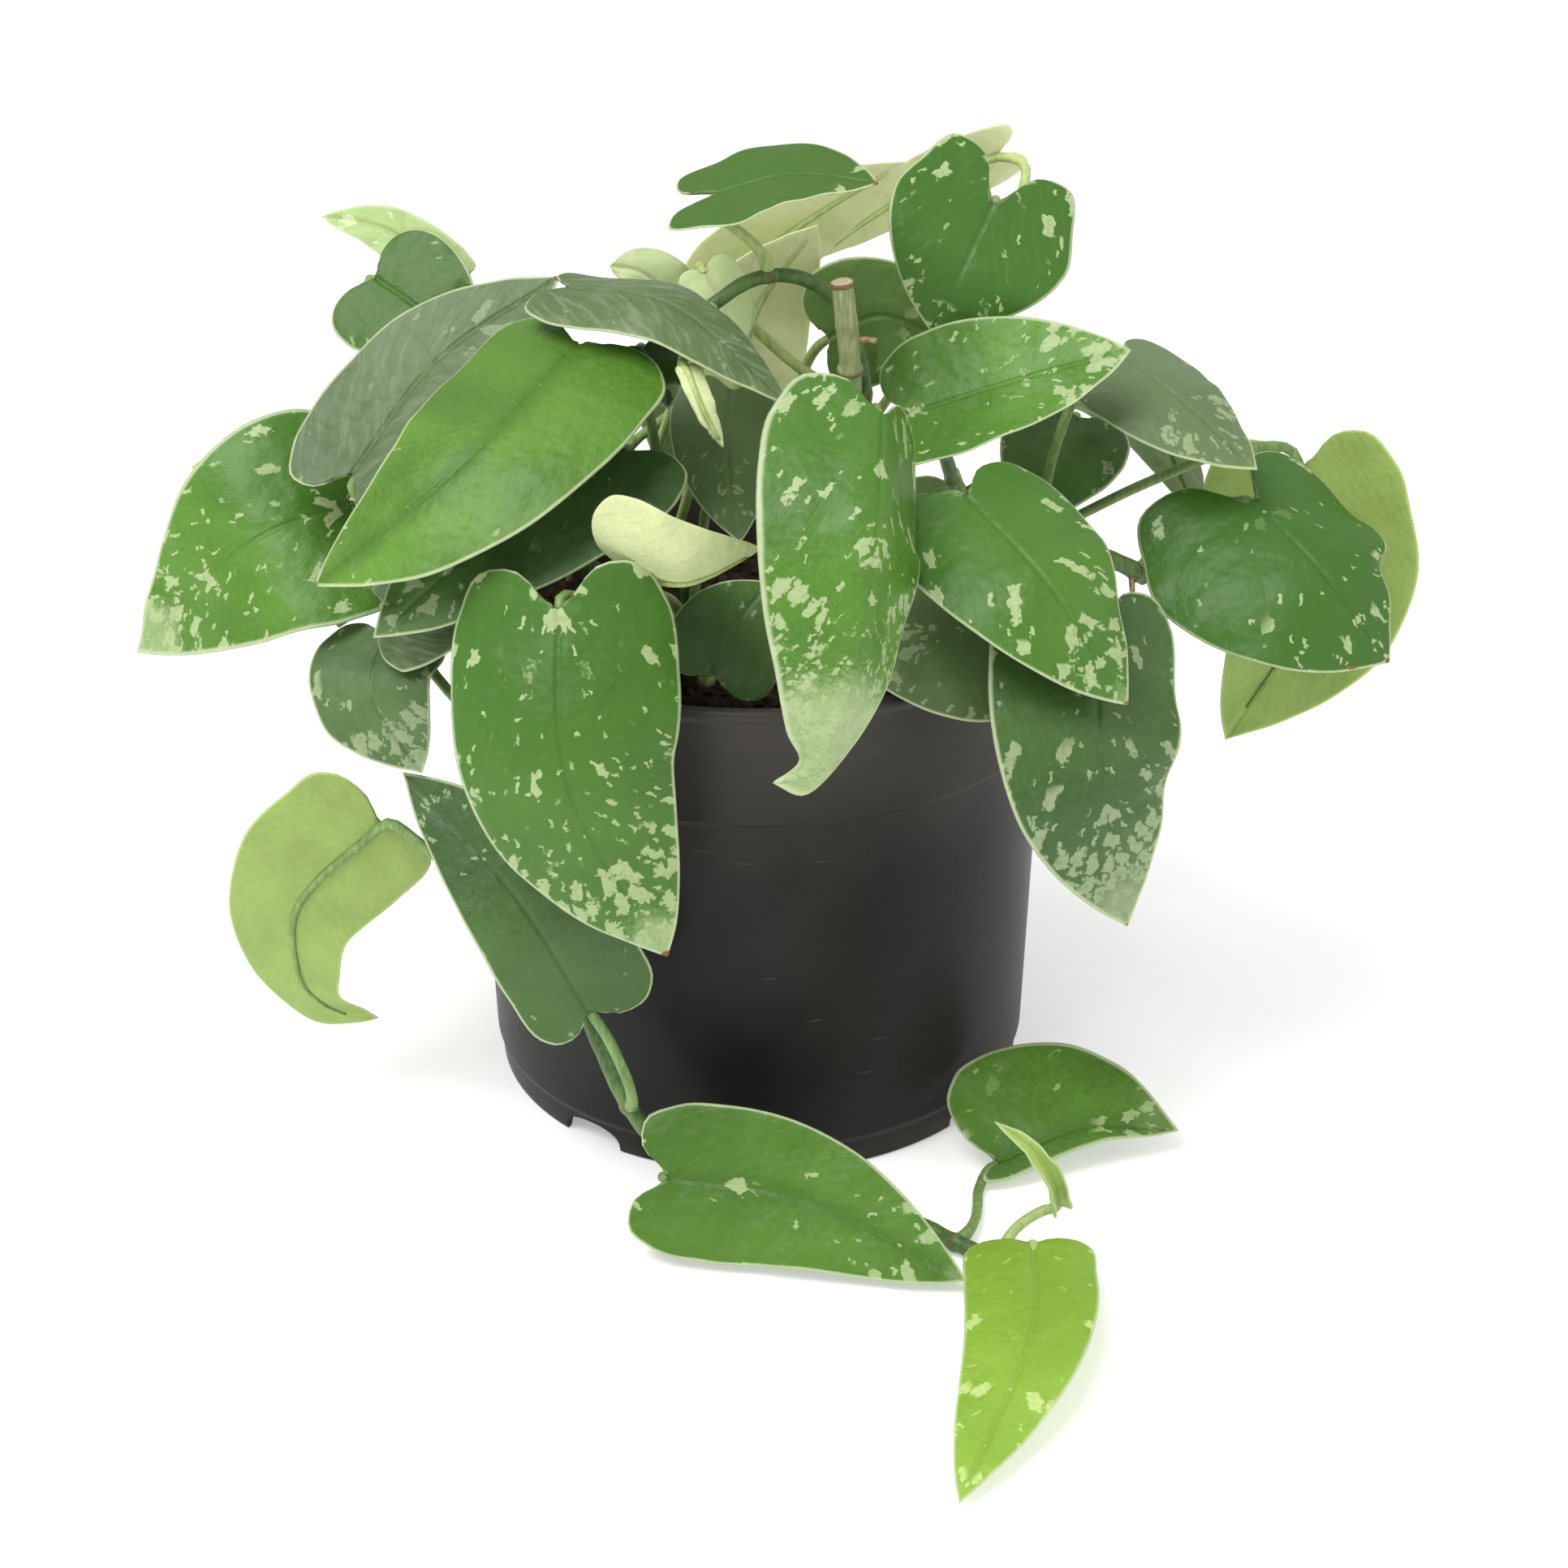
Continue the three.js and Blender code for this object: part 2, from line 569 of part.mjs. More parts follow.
    on: ["back_right_vine", 0.55], rib: [[44, 62, 180], [60, 80, 168], [72, 96, 142]],
    face: [0.3, 0.75, 0.55], width: 48, cup: -20, tone: "spotted",
  },
  back_middle_leaf: {
    on: ["back_right_vine", 0.4], rib: [[-8, 70, 164], [-10, 92, 144], [-14, 98, 106]],
    face: [0, 0.9, 0.4], width: 50, cup: -20, tone: "green",
  },
  back_low_left_leaf: {
    on: ["back_left_vine", 0.9], rib: [[-62, 102, 116], [-70, 110, 94], [-68, 106, 62]],
    face: [-0.4, 0.9, 0.2], width: 44, cup: -20, tone: "dark",
  },
  back_low_right_leaf: {
    on: ["back_right_vine", 0.9], rib: [[60, 102, 120], [68, 108, 96], [70, 104, 60]],
    face: [0.3, 0.9, 0.2], width: 46, cup: -20, tone: "spotted",
  },
  back_crown_leaf: {
    on: ["back_left_vine", 0.4], rib: [[6, 50, 190], [0, 70, 192], [-10, 92, 180]],
    face: [0, 0.5, 0.85], width: 44, cup: -20, tone: "green",
  },
  back_left_side_leaf: {
    on: ["back_left_vine", 0.5], rib: [[-86, 42, 164], [-106, 54, 152], [-122, 58, 128]],
    face: [-0.6, 0.4, 0.6], width: 46, cup: -20, tone: "spotted",
  },
  back_right_side_leaf: {
    on: ["back_right_vine", 0.5], rib: [[86, 36, 170], [106, 46, 156], [120, 50, 130]],
    face: [0.6, 0.4, 0.6], width: 44, cup: -20, tone: "green",
  },
};

// ---- Assembly -----------------------------------------------------------------------------
const plastic = new THREE.MeshStandardMaterial({ color: 0x3a3837, roughness: 0.5, metalness: 0 });
const earth = new THREE.MeshStandardMaterial({ color: 0x2a211a, roughness: 1, metalness: 0 });
const stemGreen = new THREE.MeshStandardMaterial({ color: 0x6f8f52, roughness: 0.6, metalness: 0 });
const TONES = {
  green: 0x4c8a35,
  spotted: 0x6f9c58,
  dark: 0x2f5f3a,
  grey: 0x7f9a7a,
  lime: 0x9bc04a,
  pale: 0xc3d49a,
};
const leafSkins = Object.fromEntries(
  Object.entries(TONES).map(([tone, color]) => [
    tone,
    new THREE.MeshStandardMaterial({ color, roughness: 0.5, metalness: 0 }),
  ]),
);

const plant = new THREE.Group();
function addPiece(name, geometry, material) {
  const mesh = new THREE.Mesh(geometry, material.clone());
  mesh.name = name;
  plant.add(mesh);
}

addPiece("pot", potGeometry(), plastic);
addPiece("soil", soilGeometry(), earth);
const curves = {};
for (const [name, vine] of Object.entries(VINES)) {
  curves[name] = vineCurve(vine);
  addPiece(name, stemGeometry(curves[name], vine.radius), stemGreen);
}
for (const [name, spec] of Object.entries(LEAVES)) {
  addPiece(name, leafGeometry(spec, curves), leafSkins[spec.tone]);
}

export default plant;
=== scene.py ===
# %% [markdown]
# # A potted pothos plant
#
# The real thing is a dark plastic nursery pot full of soil, with soft green vines that lean over
# the rim and heart-shaped leaves, each on its own stalk. The measured model of it is loaded first.
# It has every leaf in its place as a coarse shape, and this lesson turns each one into a fine
# leaf with a rounded edge, a raised rib and painted flecks.

# %% Load the measured model
import json
import math

import bmesh
import bpy
import numpy as np
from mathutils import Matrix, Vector

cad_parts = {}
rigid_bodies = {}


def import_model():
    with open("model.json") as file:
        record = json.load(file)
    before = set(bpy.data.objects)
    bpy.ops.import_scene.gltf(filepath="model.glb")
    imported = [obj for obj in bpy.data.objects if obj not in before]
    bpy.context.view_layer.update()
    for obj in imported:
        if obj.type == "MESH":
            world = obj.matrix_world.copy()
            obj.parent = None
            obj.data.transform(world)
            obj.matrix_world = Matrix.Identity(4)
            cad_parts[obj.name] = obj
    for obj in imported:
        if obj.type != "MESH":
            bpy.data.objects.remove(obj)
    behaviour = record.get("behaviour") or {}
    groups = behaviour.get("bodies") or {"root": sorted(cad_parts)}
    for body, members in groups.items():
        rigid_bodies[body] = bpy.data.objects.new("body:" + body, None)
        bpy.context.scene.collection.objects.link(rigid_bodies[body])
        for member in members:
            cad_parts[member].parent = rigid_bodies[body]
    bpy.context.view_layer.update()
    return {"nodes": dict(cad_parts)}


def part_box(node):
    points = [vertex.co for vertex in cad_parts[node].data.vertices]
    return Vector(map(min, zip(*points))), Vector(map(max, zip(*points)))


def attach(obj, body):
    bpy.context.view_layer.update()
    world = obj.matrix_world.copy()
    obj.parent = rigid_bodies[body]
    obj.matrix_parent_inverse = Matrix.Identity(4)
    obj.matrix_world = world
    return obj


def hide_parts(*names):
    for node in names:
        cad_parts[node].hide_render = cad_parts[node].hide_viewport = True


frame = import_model()

MM = 0.001
CM = 0.01

# %% [markdown]
# ## Camera and light
#
# A plant like this is shown on white, a little from above, so that you look both at the pot and
# into the leaves. The light comes from all round, as in a white tent. One large soft lamp above
# gives the leaves their rounded look, and a faint one at the right keeps the shadows open. Many
# small lamps would only add many small shadows.

# %% Camera
CAMERA_TILT = 64
CAMERA_TURN = -0.63
scene = bpy.context.scene
eye = bpy.data.cameras.new("eye")
eye.lens = 60
eye.sensor_width = 36
eye.clip_start = 0.01
eye.dof.use_dof = False
camera = bpy.data.objects.new("camera", eye)
camera.location = (0, -0.616, 0.375)
camera.rotation_euler = (math.radians(CAMERA_TILT), 0, math.radians(CAMERA_TURN))
scene.collection.objects.link(camera)
scene.camera = camera
scene.view_settings.view_transform = "Standard"
print("camera looks down by", 90 - CAMERA_TILT, "degrees")

# %% Light
PLANT_MIDDLE = 0.12
world = bpy.data.worlds.new("white_tent")
world.use_nodes = True
sky = world.node_tree.nodes["Background"]
sky.inputs["Color"].default_value = (1.0, 1.0, 0.99, 1)
sky.inputs["Strength"].default_value = 0.62
scene.world = world


def soft_lamp(name, place, size, power):
    """A large square lamp that looks at the middle of the plant."""
    lamp = bpy.data.lights.new(name, "AREA")
    lamp.size = size
    lamp.energy = power
    holder = bpy.data.objects.new(name, lamp)
    holder.location = place
    towards = Vector((0, 0, PLANT_MIDDLE)) - Vector(place)
    holder.rotation_euler = towards.to_track_quat("-Z", "Y").to_euler()
    scene.collection.objects.link(holder)


soft_lamp("top_lamp", (-0.55, -0.45, 1.4), 0.9, 18)
soft_lamp("side_lamp", (1.3, -0.6, 0.8), 1.0, 3)
print("one white tent and two soft lamps")

# %% [markdown]
# ## A short way to write shaders
#
# A shader is a net of small boxes. It is easier to read as sums, so one small class stands for a
# wire in the net, and adding two wires makes the Math box that adds them. Colours would turn grey
# in a Math box, so they go through Mix.

# %% Wires and finishes
def add_node(tree, kind, settings, sockets):
    """Adds one node to a shader or geometry tree: first its settings, then its sockets."""
    node = tree.nodes.new(kind)
    for name, value in settings.items():
        if name == "stops":
            ramp = node.color_ramp
            while len(ramp.elements) < len(value):
                ramp.elements.new(1.0)
            for element, (place, colour) in zip(ramp.elements, value):
                element.position = place
                element.color = (*colour, 1)
        else:
            setattr(node, name, value)
    for name, value in sockets.items():
        socket = node.inputs[name]
        if isinstance(value, Wire):
            tree.links.new(value.socket, socket)
        elif value is not None:
            socket.default_value = value
    return node


class Wire:
    """The output of a node, which can be used in a sum."""

    def __init__(self, socket):
        self.socket = socket

    def sum(self, operation, *values):
        sockets = dict(enumerate(values))
        node = add_node(self.socket.id_data, "ShaderNodeMath", {"operation": operation}, sockets)
        return Wire(node.outputs[0])

    def __add__(self, other):
        return self.sum("ADD", self, other)

    def __sub__(self, other):
        return self.sum("SUBTRACT", self, other)

    def __rsub__(self, other):
        return self.sum("SUBTRACT", other, self)

    def __mul__(self, other):
        return self.sum("MULTIPLY", self, other)

    def __truediv__(self, other):
        return self.sum("DIVIDE", self, other)

    def __abs__(self):
        return self.sum("ABSOLUTE", self)

    def most(self, other):
        return self.sum("MAXIMUM", self, other)

    def back_and_forth(self, step):
        return self.sum("PINGPONG", self, step)

    __radd__ = __add__
    __rmul__ = __mul__


class Finish:
    """One material. Its look is wired up with the methods below."""

    def __init__(self, name, roughness=0.5, **constants):
        self.material = bpy.data.materials.new(name)
        self.material.use_nodes = True
        self.tree = self.material.node_tree
        self.surface = self.tree.nodes["Principled BSDF"]
        self.surface.inputs["Roughness"].default_value = roughness
        for socket, value in constants.items():
            self.surface.inputs[socket.replace("_", " ")].default_value = value

    def node(self, kind, settings=None, sockets=None, out=0):
        made = add_node(self.tree, kind, settings or {}, sockets or {})
        return Wire(made.outputs[out])

    def attribute(self, name):
        return self.node("ShaderNodeAttribute", {"attribute_name": name}, out="Fac")

    def place(self):
        return self.node("ShaderNodeTexCoord", out="Object")

    def split(self, vector):
        made = add_node(self.tree, "ShaderNodeSeparateXYZ", {}, {0: vector})
        return [Wire(output) for output in made.outputs]

    def vector(self, x, y, z):
        return self.node("ShaderNodeCombineXYZ", {}, {0: x, 1: y, 2: z})

    def scaled(self, vector, x, y, z):
        return self.node("ShaderNodeVectorMath", {"operation": "MULTIPLY"}, {0: vector, 1: (x, y, z)})

    def shifted(self, vector, other):
        return self.node("ShaderNodeVectorMath", {"operation": "ADD"}, {0: vector, 1: other})

    def noise(self, vector, scale, detail=3.0, out="Fac"):
        sockets = {"Vector": vector, "Scale": scale, "Detail": detail}
        return self.node("ShaderNodeTexNoise", {}, sockets, out)

    def cells(self, vector, scale, out="Distance", distance="EUCLIDEAN"):
        sockets = {"Vector": vector, "Scale": scale}
        return self.node("ShaderNodeTexVoronoi", {"distance": distance}, sockets, out)

    def rise(self, value, low, high):
        """0 under low, 1 over high, and smooth between them."""
        settings = {"interpolation_type": "SMOOTHSTEP"}
        return self.node("ShaderNodeMapRange", settings, {0: value, 1: low, 2: high})

    def mix(self, first, second, share):
        sockets = {0: share, 6: rgba(first), 7: rgba(second)}
        return self.node("ShaderNodeMix", {"data_type": "RGBA"}, sockets, out=2)

    def ramp(self, value, *stops):
        return self.node("ShaderNodeValToRGB", {"stops": stops}, {0: value})

    def wear(self, colour=None, roughness=None, height=None, depth=0.0003):
        """Joins the colour, roughness and bumps to the surface."""
        if colour:
            self.tree.links.new(colour.socket, self.surface.inputs["Base Color"])
        if roughness:
            self.tree.links.new(roughness.socket, self.surface.inputs["Roughness"])
        if height:
            sockets = {"Height": height, "Distance": depth, "Strength": 1.0}
            bump = self.node("ShaderNodeBump", {}, sockets)
            self.tree.links.new(bump.socket, self.surface.inputs["Normal"])
        return self.material


def rgba(colour):
    return colour if isinstance(colour, Wire) else (*colour, 1)


print("a wire adds, a finish makes nodes")

# %% [markdown]
# ## The surface it stands on
#
# A plain pale surface, wide enough that its edge is out of sight. It isn't part of the plant. It
# glows a little by itself, as a lit white table does, so that no shadow on it turns grey.

# %% Floor
pale = Finish("pale_floor", roughness=0.9)
grain = pale.noise(pale.place(), 3.0)
pale.surface.inputs["Emission Color"].default_value = (1, 1, 1, 1)
pale.surface.inputs["Emission Strength"].default_value = 0.36
floor_material = pale.wear(colour=pale.mix((0.94, 0.94, 0.93), (0.97, 0.97, 0.96), grain))
below_pot = (0, 0, -0.2 * MM)
bpy.ops.mesh.primitive_circle_add(vertices=96, radius=7, fill_type="NGON", location=below_pot)
floor = bpy.context.object
floor.name = "floor"
floor.data.materials.append(floor_material)
print("floor is", round(floor.dimensions.x, 1), "m across")

# %% [markdown]
# ## Reading the coarse pieces
#
# Every vine and leaf of the measured model is a skin over rings of eight points, closed by one
# point at each end. The model is stored as loose triangles, so a copy is merged first. Then the
# end points are the only ones with eight edges, and walking out from one of them finds the rings
# one after another. That gives the shape's own rows and columns, which a fine surface can follow.

# %% Rings of a measured piece
SIDES = 8


def levels_from(start):
    """The points at one, two, three... edges from the start point."""
    seen = {start}
    level = [start]
    found = []
    while level:
        found.append(level)
        ahead = []
        for vertex in level:
            for edge in vertex.link_edges:
                other = edge.other_vert(vertex)
                if other not in seen:
                    seen.add(other)
                    ahead.append(other)
        level = ahead
    return found


def next_ring(ring, level):
    """The ring after this one, each point beside its own point of this ring. Two turns may fit, as
    every point also has a slanted edge to its neighbour's point, and then the later one is right."""
    members = set(level)
    around = [level[0]]
    while len(around) < SIDES:
        beside = [edge.other_vert(around[-1]) for edge in around[-1].link_edges]
        around.append(next(v for v in beside if v in members and v not in around))
    near = [{edge.other_vert(v) for edge in v.link_edges} for v in ring]
    fits = []
    for order in (around, around[::-1]):
        for turn in range(SIDES):
            tried = order[turn:] + order[:turn]
            if all(v in near[k] for k, v in enumerate(tried)):
                fits.append(tried)
    if len(fits) == 2 and fits[0][1] is fits[1][0]:
        return fits[1]
    return fits[0]


def rings_of(node):
    """The first point, the rings and the last point of a lofted piece, as arrays in metres."""
    shape = bmesh.new()
    shape.from_mesh(frame["nodes"][node].data)
    bmesh.ops.remove_doubles(shape, verts=shape.verts, dist=2e-6)
    ends = [v for v in shape.verts if len(v.link_edges) == SIDES]
    tracks = [levels_from(end) for end in ends]
    tracks = [t for t in tracks if len(t[-1]) == 1 and all(len(l) == SIDES for l in t[1:-1])]
    size = lambda level: float(np.std([v.co for v in level], axis=0).sum())
    tracks.sort(key=lambda t: size(t[5]))
    track = tracks[0]
    start = track[0][0]
    follows = {}
    for face in start.link_faces:
        corners = list(face.verts)
        at = corners.index(start)
        follows[corners[at - 1]] = corners[at - 2]
    ring = [track[1][0]]
    while len(ring) < SIDES:
        ring.append(follows[ring[-1]])
    rings = [ring]
    for level in track[2:-1]:
        rings.append(next_ring(rings[-1], level))
    points = np.array([[v.co for v in ring] for ring in rings], float)
    first, last = np.array(start.co, float), np.array(track[-1][0].co, float)
    shape.free()
    return first, points, last


leaf_names = sorted(n for n in frame["nodes"] if n.endswith(("_leaf", "_bud", "_spike")))
vine_names = sorted(n for n in frame["nodes"] if n.endswith("_vine"))
print(len(leaf_names), "leaves and", len(vine_names), "vines")

# %% [markdown]
# ## Smooth lines through given points
#
# Between the rings the real leaf bends smoothly. A curve through the given points, with the
# points' own spacing taken into account, does that without overshooting where rings lie close.

# %% Smooth curve through points
def spacing(points):
    """How far along a line each point is, from the distances between them."""
    steps = np.linalg.norm(np.diff(points, axis=0), axis=-1)
    while steps.ndim > 1:
        steps = steps.mean(axis=-1)
    return np.concatenate([[0.0], np.cumsum(np.maximum(steps, 1e-6))])


def smooth(points, knots, at):
    """Points on the smooth curve through rows of points that sit at the given knots."""
    shape = (-1,) + (1,) * (points.ndim - 1)
    slope = np.diff(points, axis=0) / np.diff(knots).reshape(shape)
    gap = np.diff(knots).reshape(shape)
    inner = (slope[1:] * gap[:-1] + slope[:-1] * gap[1:]) / (gap[1:] + gap[:-1])
    tangent = np.concatenate([slope[:1], inner, slope[-1:]])
    cell = np.clip(np.searchsorted(knots, at, side="right") - 1, 0, len(knots) - 2)
    width = (knots[cell + 1] - knots[cell]).reshape(shape)
    t = ((at - knots[cell]) / (knots[cell + 1] - knots[cell])).reshape(shape)
    a, b = points[cell], points[cell + 1]
    ta, tb = tangent[cell] * width, tangent[cell + 1] * width
    return (
        (2 * t**3 - 3 * t**2 + 1) * a
        + (t**3 - 2 * t**2 + t) * ta
        + (3 * t**2 - 2 * t**3) * b
        + (t**3 - t**2) * tb
    )


def unit(vectors):
    return vectors / np.maximum(np.linalg.norm(vectors, axis=-1, keepdims=True), 1e-12)


print("a square through its corners bulges to", smooth(np.eye(4), np.arange(4.0), np.array([1.5])))

# %% [markdown]
# ## Stalks and vines
#
# Stems are round, a little thicker at each joint, and follow a path, which is what Curve to Mesh
# in Geometry Nodes is for. The path comes in as a chain of points that carry their own thickness
# and a mark that is 1 at a joint. The same tree makes the vines and the leaf stalks.

# %% Geometry tree for stalks
def new_tree(name, *inputs):
    """An empty geometry tree with a Geometry input and output and the named inputs."""
    tree = bpy.data.node_groups.new(name, "GeometryNodeTree")
    tree.interface.new_socket("Geometry", in_out="INPUT", socket_type="NodeSocketGeometry")
    for title, kind in inputs:
        tree.interface.new_socket(title, in_out="INPUT", socket_type="NodeSocket" + kind)
    tree.interface.new_socket("Geometry", in_out="OUTPUT", socket_type="NodeSocketGeometry")
    entry = tree.nodes.new("NodeGroupInput")
    return tree, {output.name: Wire(output) for output in entry.outputs if output.name}


def close_tree(tree, geometry):
    leave = tree.nodes.new("NodeGroupOutput")
    tree.links.new(geometry.socket, leave.inputs[0])
    return tree


def step(tree, kind, settings=None, sockets=None, out=0):
    return Wire(add_node(tree, kind, settings or {}, sockets or {}).outputs[out])


def stored(tree, name):
    return step(tree, "GeometryNodeInputNamedAttribute", {"data_type": "FLOAT"}, {"Name": name})


def stalk_tree():
    tree, given = new_tree("stalk", ("Sides", "Int"), ("Swelling", "Float"), ("Finish", "Material"))
    line = step(tree, "GeometryNodeMeshToCurve", {}, {"Mesh": given["Geometry"]})
    swelling = given["Swelling"] * stored(tree, "joint") + 1.0
    radius = stored(tree, "thick") * swelling
    ring = step(tree, "GeometryNodeCurvePrimitiveCircle", {}, {"Resolution": given["Sides"]})
    sockets = {"Curve": line, "Profile Curve": ring, "Scale": radius, "Fill Caps": True}
    skin = step(tree, "GeometryNodeCurveToMesh", {}, sockets)
    skin = step(tree, "GeometryNodeSetShadeSmooth", {}, {"Geometry": skin})
    skin = step(tree, "GeometryNodeRealizeInstances", {}, {"Geometry": skin})
    skin = step(tree, "GeometryNodeSetMaterial", {}, {"Geometry": skin, "Material": given["Finish"]})
    return close_tree(tree, skin)


def grow(name, source, tree, **values):
    """Runs a geometry tree on a mesh and returns the plain mesh that comes out."""
    host = show(name, source)
    modifier = host.modifiers.new("grow", "NODES")
    modifier.node_group = tree
    for item in tree.interface.items_tree:
        if item.in_out == "INPUT" and item.name in values:
            modifier[item.identifier] = values[item.name]
    bpy.context.view_layer.update()
    graph = bpy.context.evaluated_depsgraph_get()
    made = bpy.data.meshes.new_from_object(host.evaluated_get(graph))
    bpy.data.objects.remove(host)
    bpy.data.meshes.remove(source)
    made.name = name
    return made


def point_values(mesh, name, values, domain="POINT"):
    """Gives a mesh one named number for each of its points or faces."""
    layer = mesh.attributes.new(name, "FLOAT", domain)
    layer.data.foreach_set("value", np.array(values, np.float32))


def shade_smooth(mesh):
    mesh.polygons.foreach_set("use_smooth", np.ones(len(mesh.polygons), bool))


def show(name, mesh):
    """Puts a mesh into the scene as an object."""
    made = bpy.data.objects.new(name, mesh)
    scene.collection.objects.link(made)
    return made


def arrays_of(mesh):
    """A plain mesh as an array of points and a list of faces."""
    return np.array([v.co for v in mesh.vertices]), [list(p.vertices) for p in mesh.polygons]


def chain(points, thick, joint):
    """A chain of points and edges that carries thickness and joint marks."""
    mesh = bpy.data.meshes.new("chain")
    links = [(k, k + 1) for k in range(len(points) - 1)]
    mesh.from_pydata([tuple(p) for p in points], links, [])
    point_values(mesh, "thick", thick)
    point_values(mesh, "joint", joint)
    return mesh


STALK = stalk_tree()
print("stalk tree:", len(STALK.nodes), "nodes")

# %% [markdown]
# ## Green of stems and stalks
#
# A fresh stem is a paler green than the leaves, with fine lengthwise streaks and small specks. Its
# joints are browner, with a slight ring. Streaks come from noise that is stretched upwards. The
# cut vine is tan and young leaves stand on pale stalks, so the finish is made in four colours.

# %% Stem finish
def stem_finish(name, light, dark):
    finish = Finish(name, roughness=0.5, Specular_IOR_Level=0.4, Subsurface_Weight=0.08)
    finish.surface.inputs["Subsurface Scale"].default_value = 0.002
    place = finish.place()
    streaks = finish.noise(finish.scaled(place, 900, 900, 160), 1.0, 4.0)
    patches = finish.noise(place, 90.0, 3.0)
    specks = finish.rise(finish.cells(place, 700.0), 0.16, 0.1)
    joint = finish.attribute("joint")
    colour = finish.mix(dark, light, finish.rise(streaks * 0.6 + patches * 0.4, 0.35, 0.65))
    colour = finish.mix(colour, (0.30, 0.33, 0.16), specks * 0.5)
    scar = finish.rise(joint + patches * 0.3, 0.75, 1.1)
    colour = finish.mix(colour, (0.20, 0.13, 0.055), scar * 0.75)
    roughness = streaks * 0.2 + 0.36
    height = streaks * 0.6 + specks * 0.5 + finish.rise(joint, 0.8, 0.95) * 1.5
    return finish.wear(colour, roughness, height, 0.00012)


STEM_GREEN = stem_finish("stem_green", (0.13, 0.235, 0.065), (0.055, 0.12, 0.03))
STALK_GREEN = stem_finish("stalk_green", (0.25, 0.37, 0.12), (0.12, 0.22, 0.055))
STALK_PALE = stem_finish("stalk_pale", (0.50, 0.62, 0.24), (0.34, 0.46, 0.14))
STEM_TAN = stem_finish("stem_tan", (0.44, 0.46, 0.24), (0.22, 0.28, 0.11))
print("four stem colours")

# %% [markdown]
# ## Dry brown
#
# Aerial roots are dead, corky tips. Long thin noise in three browns gives them their fibres.

# %% Dry brown finish
def dry_finish():
    finish = Finish("dry_root", roughness=0.8)
    place = finish.place()
    fibres = finish.noise(finish.scaled(place, 1400, 1400, 500), 1.0, 4.0)
    colour = finish.ramp(fibres, (0.3, (0.14, 0.075, 0.035)), (0.55, (0.36, 0.235, 0.12)),
                         (0.8, (0.55, 0.42, 0.26)))
    return finish.wear(colour, fibres * 0.2 + 0.65, fibres, 0.0002)


DRY_ROOT = dry_finish()
print("dry brown for the aerial roots")

# %% [markdown]
# ## Leaf finishes
#
# These leaves are satin green with angular silver flecks that lie along the side veins. The
# flecks crowd towards the tip and the edge, and a thin pale line runs round the margin. The
# underside is paler, with darker slanted veins. The flecks are Voronoi cells in the leaf's own
# flat measure, in centimetres, slanted along the veins and bent by noise. A cell is filled if its
# random number is under a share that grows towards the tip, so each leaf has its own pattern.
# The tone number makes a whole leaf deeper green or greyer, as leaves differ with age and light.

# %% Leaf finish
VEIN_SLANT = 1.9
VEIN_UNIT = 1 / math.hypot(1, VEIN_SLANT)
print("side veins leave the rib at", round(math.degrees(math.atan(1 / VEIN_SLANT))), "degrees")


